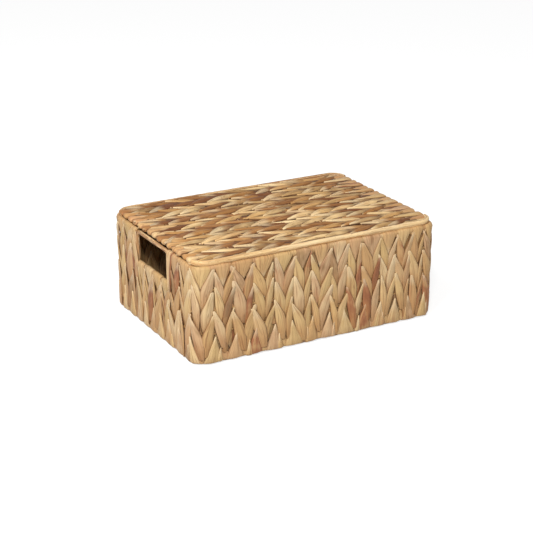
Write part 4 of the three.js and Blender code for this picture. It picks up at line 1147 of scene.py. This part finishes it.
def edge_strips(turn):
    """Strips that lie along the edge wire, several side by side, each one starting under the one before."""
    x, y = EDGE_X - EDGE_RADIUS, EDGE_Y - EDGE_RADIUS
    line = (corner_arc(-x, -y, EDGE_RADIUS, math.pi, LID_MIDDLE)
            + spaced(Vector((-x, -EDGE_Y, LID_MIDDLE)), Vector((x, -EDGE_Y, LID_MIDDLE)), EDGE_STEP)[1:-1]
            + corner_arc(x, -y, EDGE_RADIUS, 1.5 * math.pi, LID_MIDDLE))
    line = [Vector((turn * p.x, turn * p.y, p.z)) for p in line]
    directions = line_frames(line)
    up = Vector(UP)
    leaves = []
    for angle, half, bent, above in EDGE_STRIPS:
        start = -chooser.randrange(STRIP_STEPS[0])
        while start < len(line) - TAPER:
            end = start + chooser.randint(*STRIP_STEPS)
            drift, width = chooser.uniform(-DRIFT, DRIFT), chooser.uniform(0.85, 1.15)
            stations = []
            for i in range(max(start, 0), min(end, len(line) - 1) + 1):
                narrow = min(1.0, (min(i - start, end - i) + BLUNT_STRIP) / TAPER)
                turned = math.radians(angle) + drift * (i - start)
                out = directions[i].cross(up) * math.cos(turned) + up * math.sin(turned)
                lies = EDGE_LIES + EDGE_RISES * narrow + chooser.uniform(-EDGE_UNEVEN, EDGE_UNEVEN)
                at = line[i] + out * (lies * MM + above)
                stations.append((at, directions[i].cross(out), out, half * width * narrow, EDGE_THICK))
            section = leaf_section(chooser.choice(LEAVES)[0], bent)
            leaves.append((stations, section, chooser.uniform(-1, 1), chooser.uniform(-1, 1)))
            start = end - 2 * TAPER
    return leaves


lid_roll_front = strip_piece("lid_roll_front", edge_strips(1), binding_leaf)
# the browner strips paint the back edge darker, partly as painted shade
lid_roll_back = strip_piece("lid_roll_back", edge_strips(-1), grip_leaf)  # the back is of the browner kind

# %% [markdown]
# ## The wires
# Thin steel wire, welded and dipped in a tan lacquer. It shows as short bits between the leaves, so the
# solids of the wires stay as they are and only get their finish: a lacquer a little worn to brown.

# %% Finish the wires
WORN_PATCH = 9 * MM
LACQUER_IOR = 1.5

# Lacquer is smooth and has a clear shine, which is duller where it is worn.
wire_lacquer, tree = new_material("steel wire, dipped in tan lacquer")
where = add(tree, "ShaderNodeTexCoord").outputs["Object"]
worn = add(tree, "ShaderNodeTexNoise",
           {"Vector": where, "Scale": 1 / WORN_PATCH, "Detail": 3.0}).outputs["Fac"]
worn_amount = add(tree, "ShaderNodeMapRange", {"Value": worn, "From Min": 0.45, "From Max": 0.7})
colour = add(tree, "ShaderNodeMix", {0: worn_amount, 6: linear("#B48D58"), 7: linear("#7C5633")},
             data_type="RGBA").outputs[2]
rough = add(tree, "ShaderNodeMapRange", {"Value": worn, "To Min": 0.35, "To Max": 0.6})
lacquer = add(tree, "ShaderNodeBsdfPrincipled",
              {"Base Color": colour, "Roughness": rough, "IOR": LACQUER_IOR})
add(tree, "ShaderNodeOutputMaterial", {"Surface": lacquer})
wires = [node for name, node in nodes.items() if "wire" in name or "hoop" in name or "post" in name]
for node in wires:
    node.material_slots[0].material = wire_lacquer
print(len(wires), "wires lacquered")

# %% [markdown]
# ## Putting it together
# Each woven piece rides on the body whose solids it stands for, and the solids it replaces are hidden.
# The table also lists the record's finish for each piece.

# %% Tie the pieces to the bodies
DRESSED = [
    (woven_front, "basket", "wall_leaf", ("front_wall", "corner_front_left", "corner_front_right",
                                          "left_wall_front", "right_wall_front")),
    (woven_back, "basket", "wall_leaf", ("back_wall", "corner_back_left", "corner_back_right",
                                         "left_wall_back", "right_wall_back")),
    (woven_left, "basket", "wall_leaf", ("left_wall_under_handle",)),
    (woven_right, "basket", "wall_leaf", ("right_wall_under_handle",)),
    (base_weave, "basket", "wall_leaf", ("base_mat",)),
    (grip_wrap_left, "basket", "binding_leaf", ("grip_left",)),
    (grip_wrap_right, "basket", "binding_leaf", ("grip_right",)),
    (rim_roll, "basket", "wall_leaf", ()),
    (lid_weave, "lid", "lid_leaf", ("lid_mat",)),
    (lid_roll_front, "lid", "binding_leaf", ("lid_binding_front",)),
    (lid_roll_back, "lid", "binding_leaf", ("lid_binding_back",)),
]
for piece, body, finish, replaced in DRESSED:
    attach(piece, body)
    if replaced:
        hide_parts(*replaced)
print(len(DRESSED), "pieces,", sum(len(p.data.loop_triangles) for p, *_ in DRESSED), "triangles")
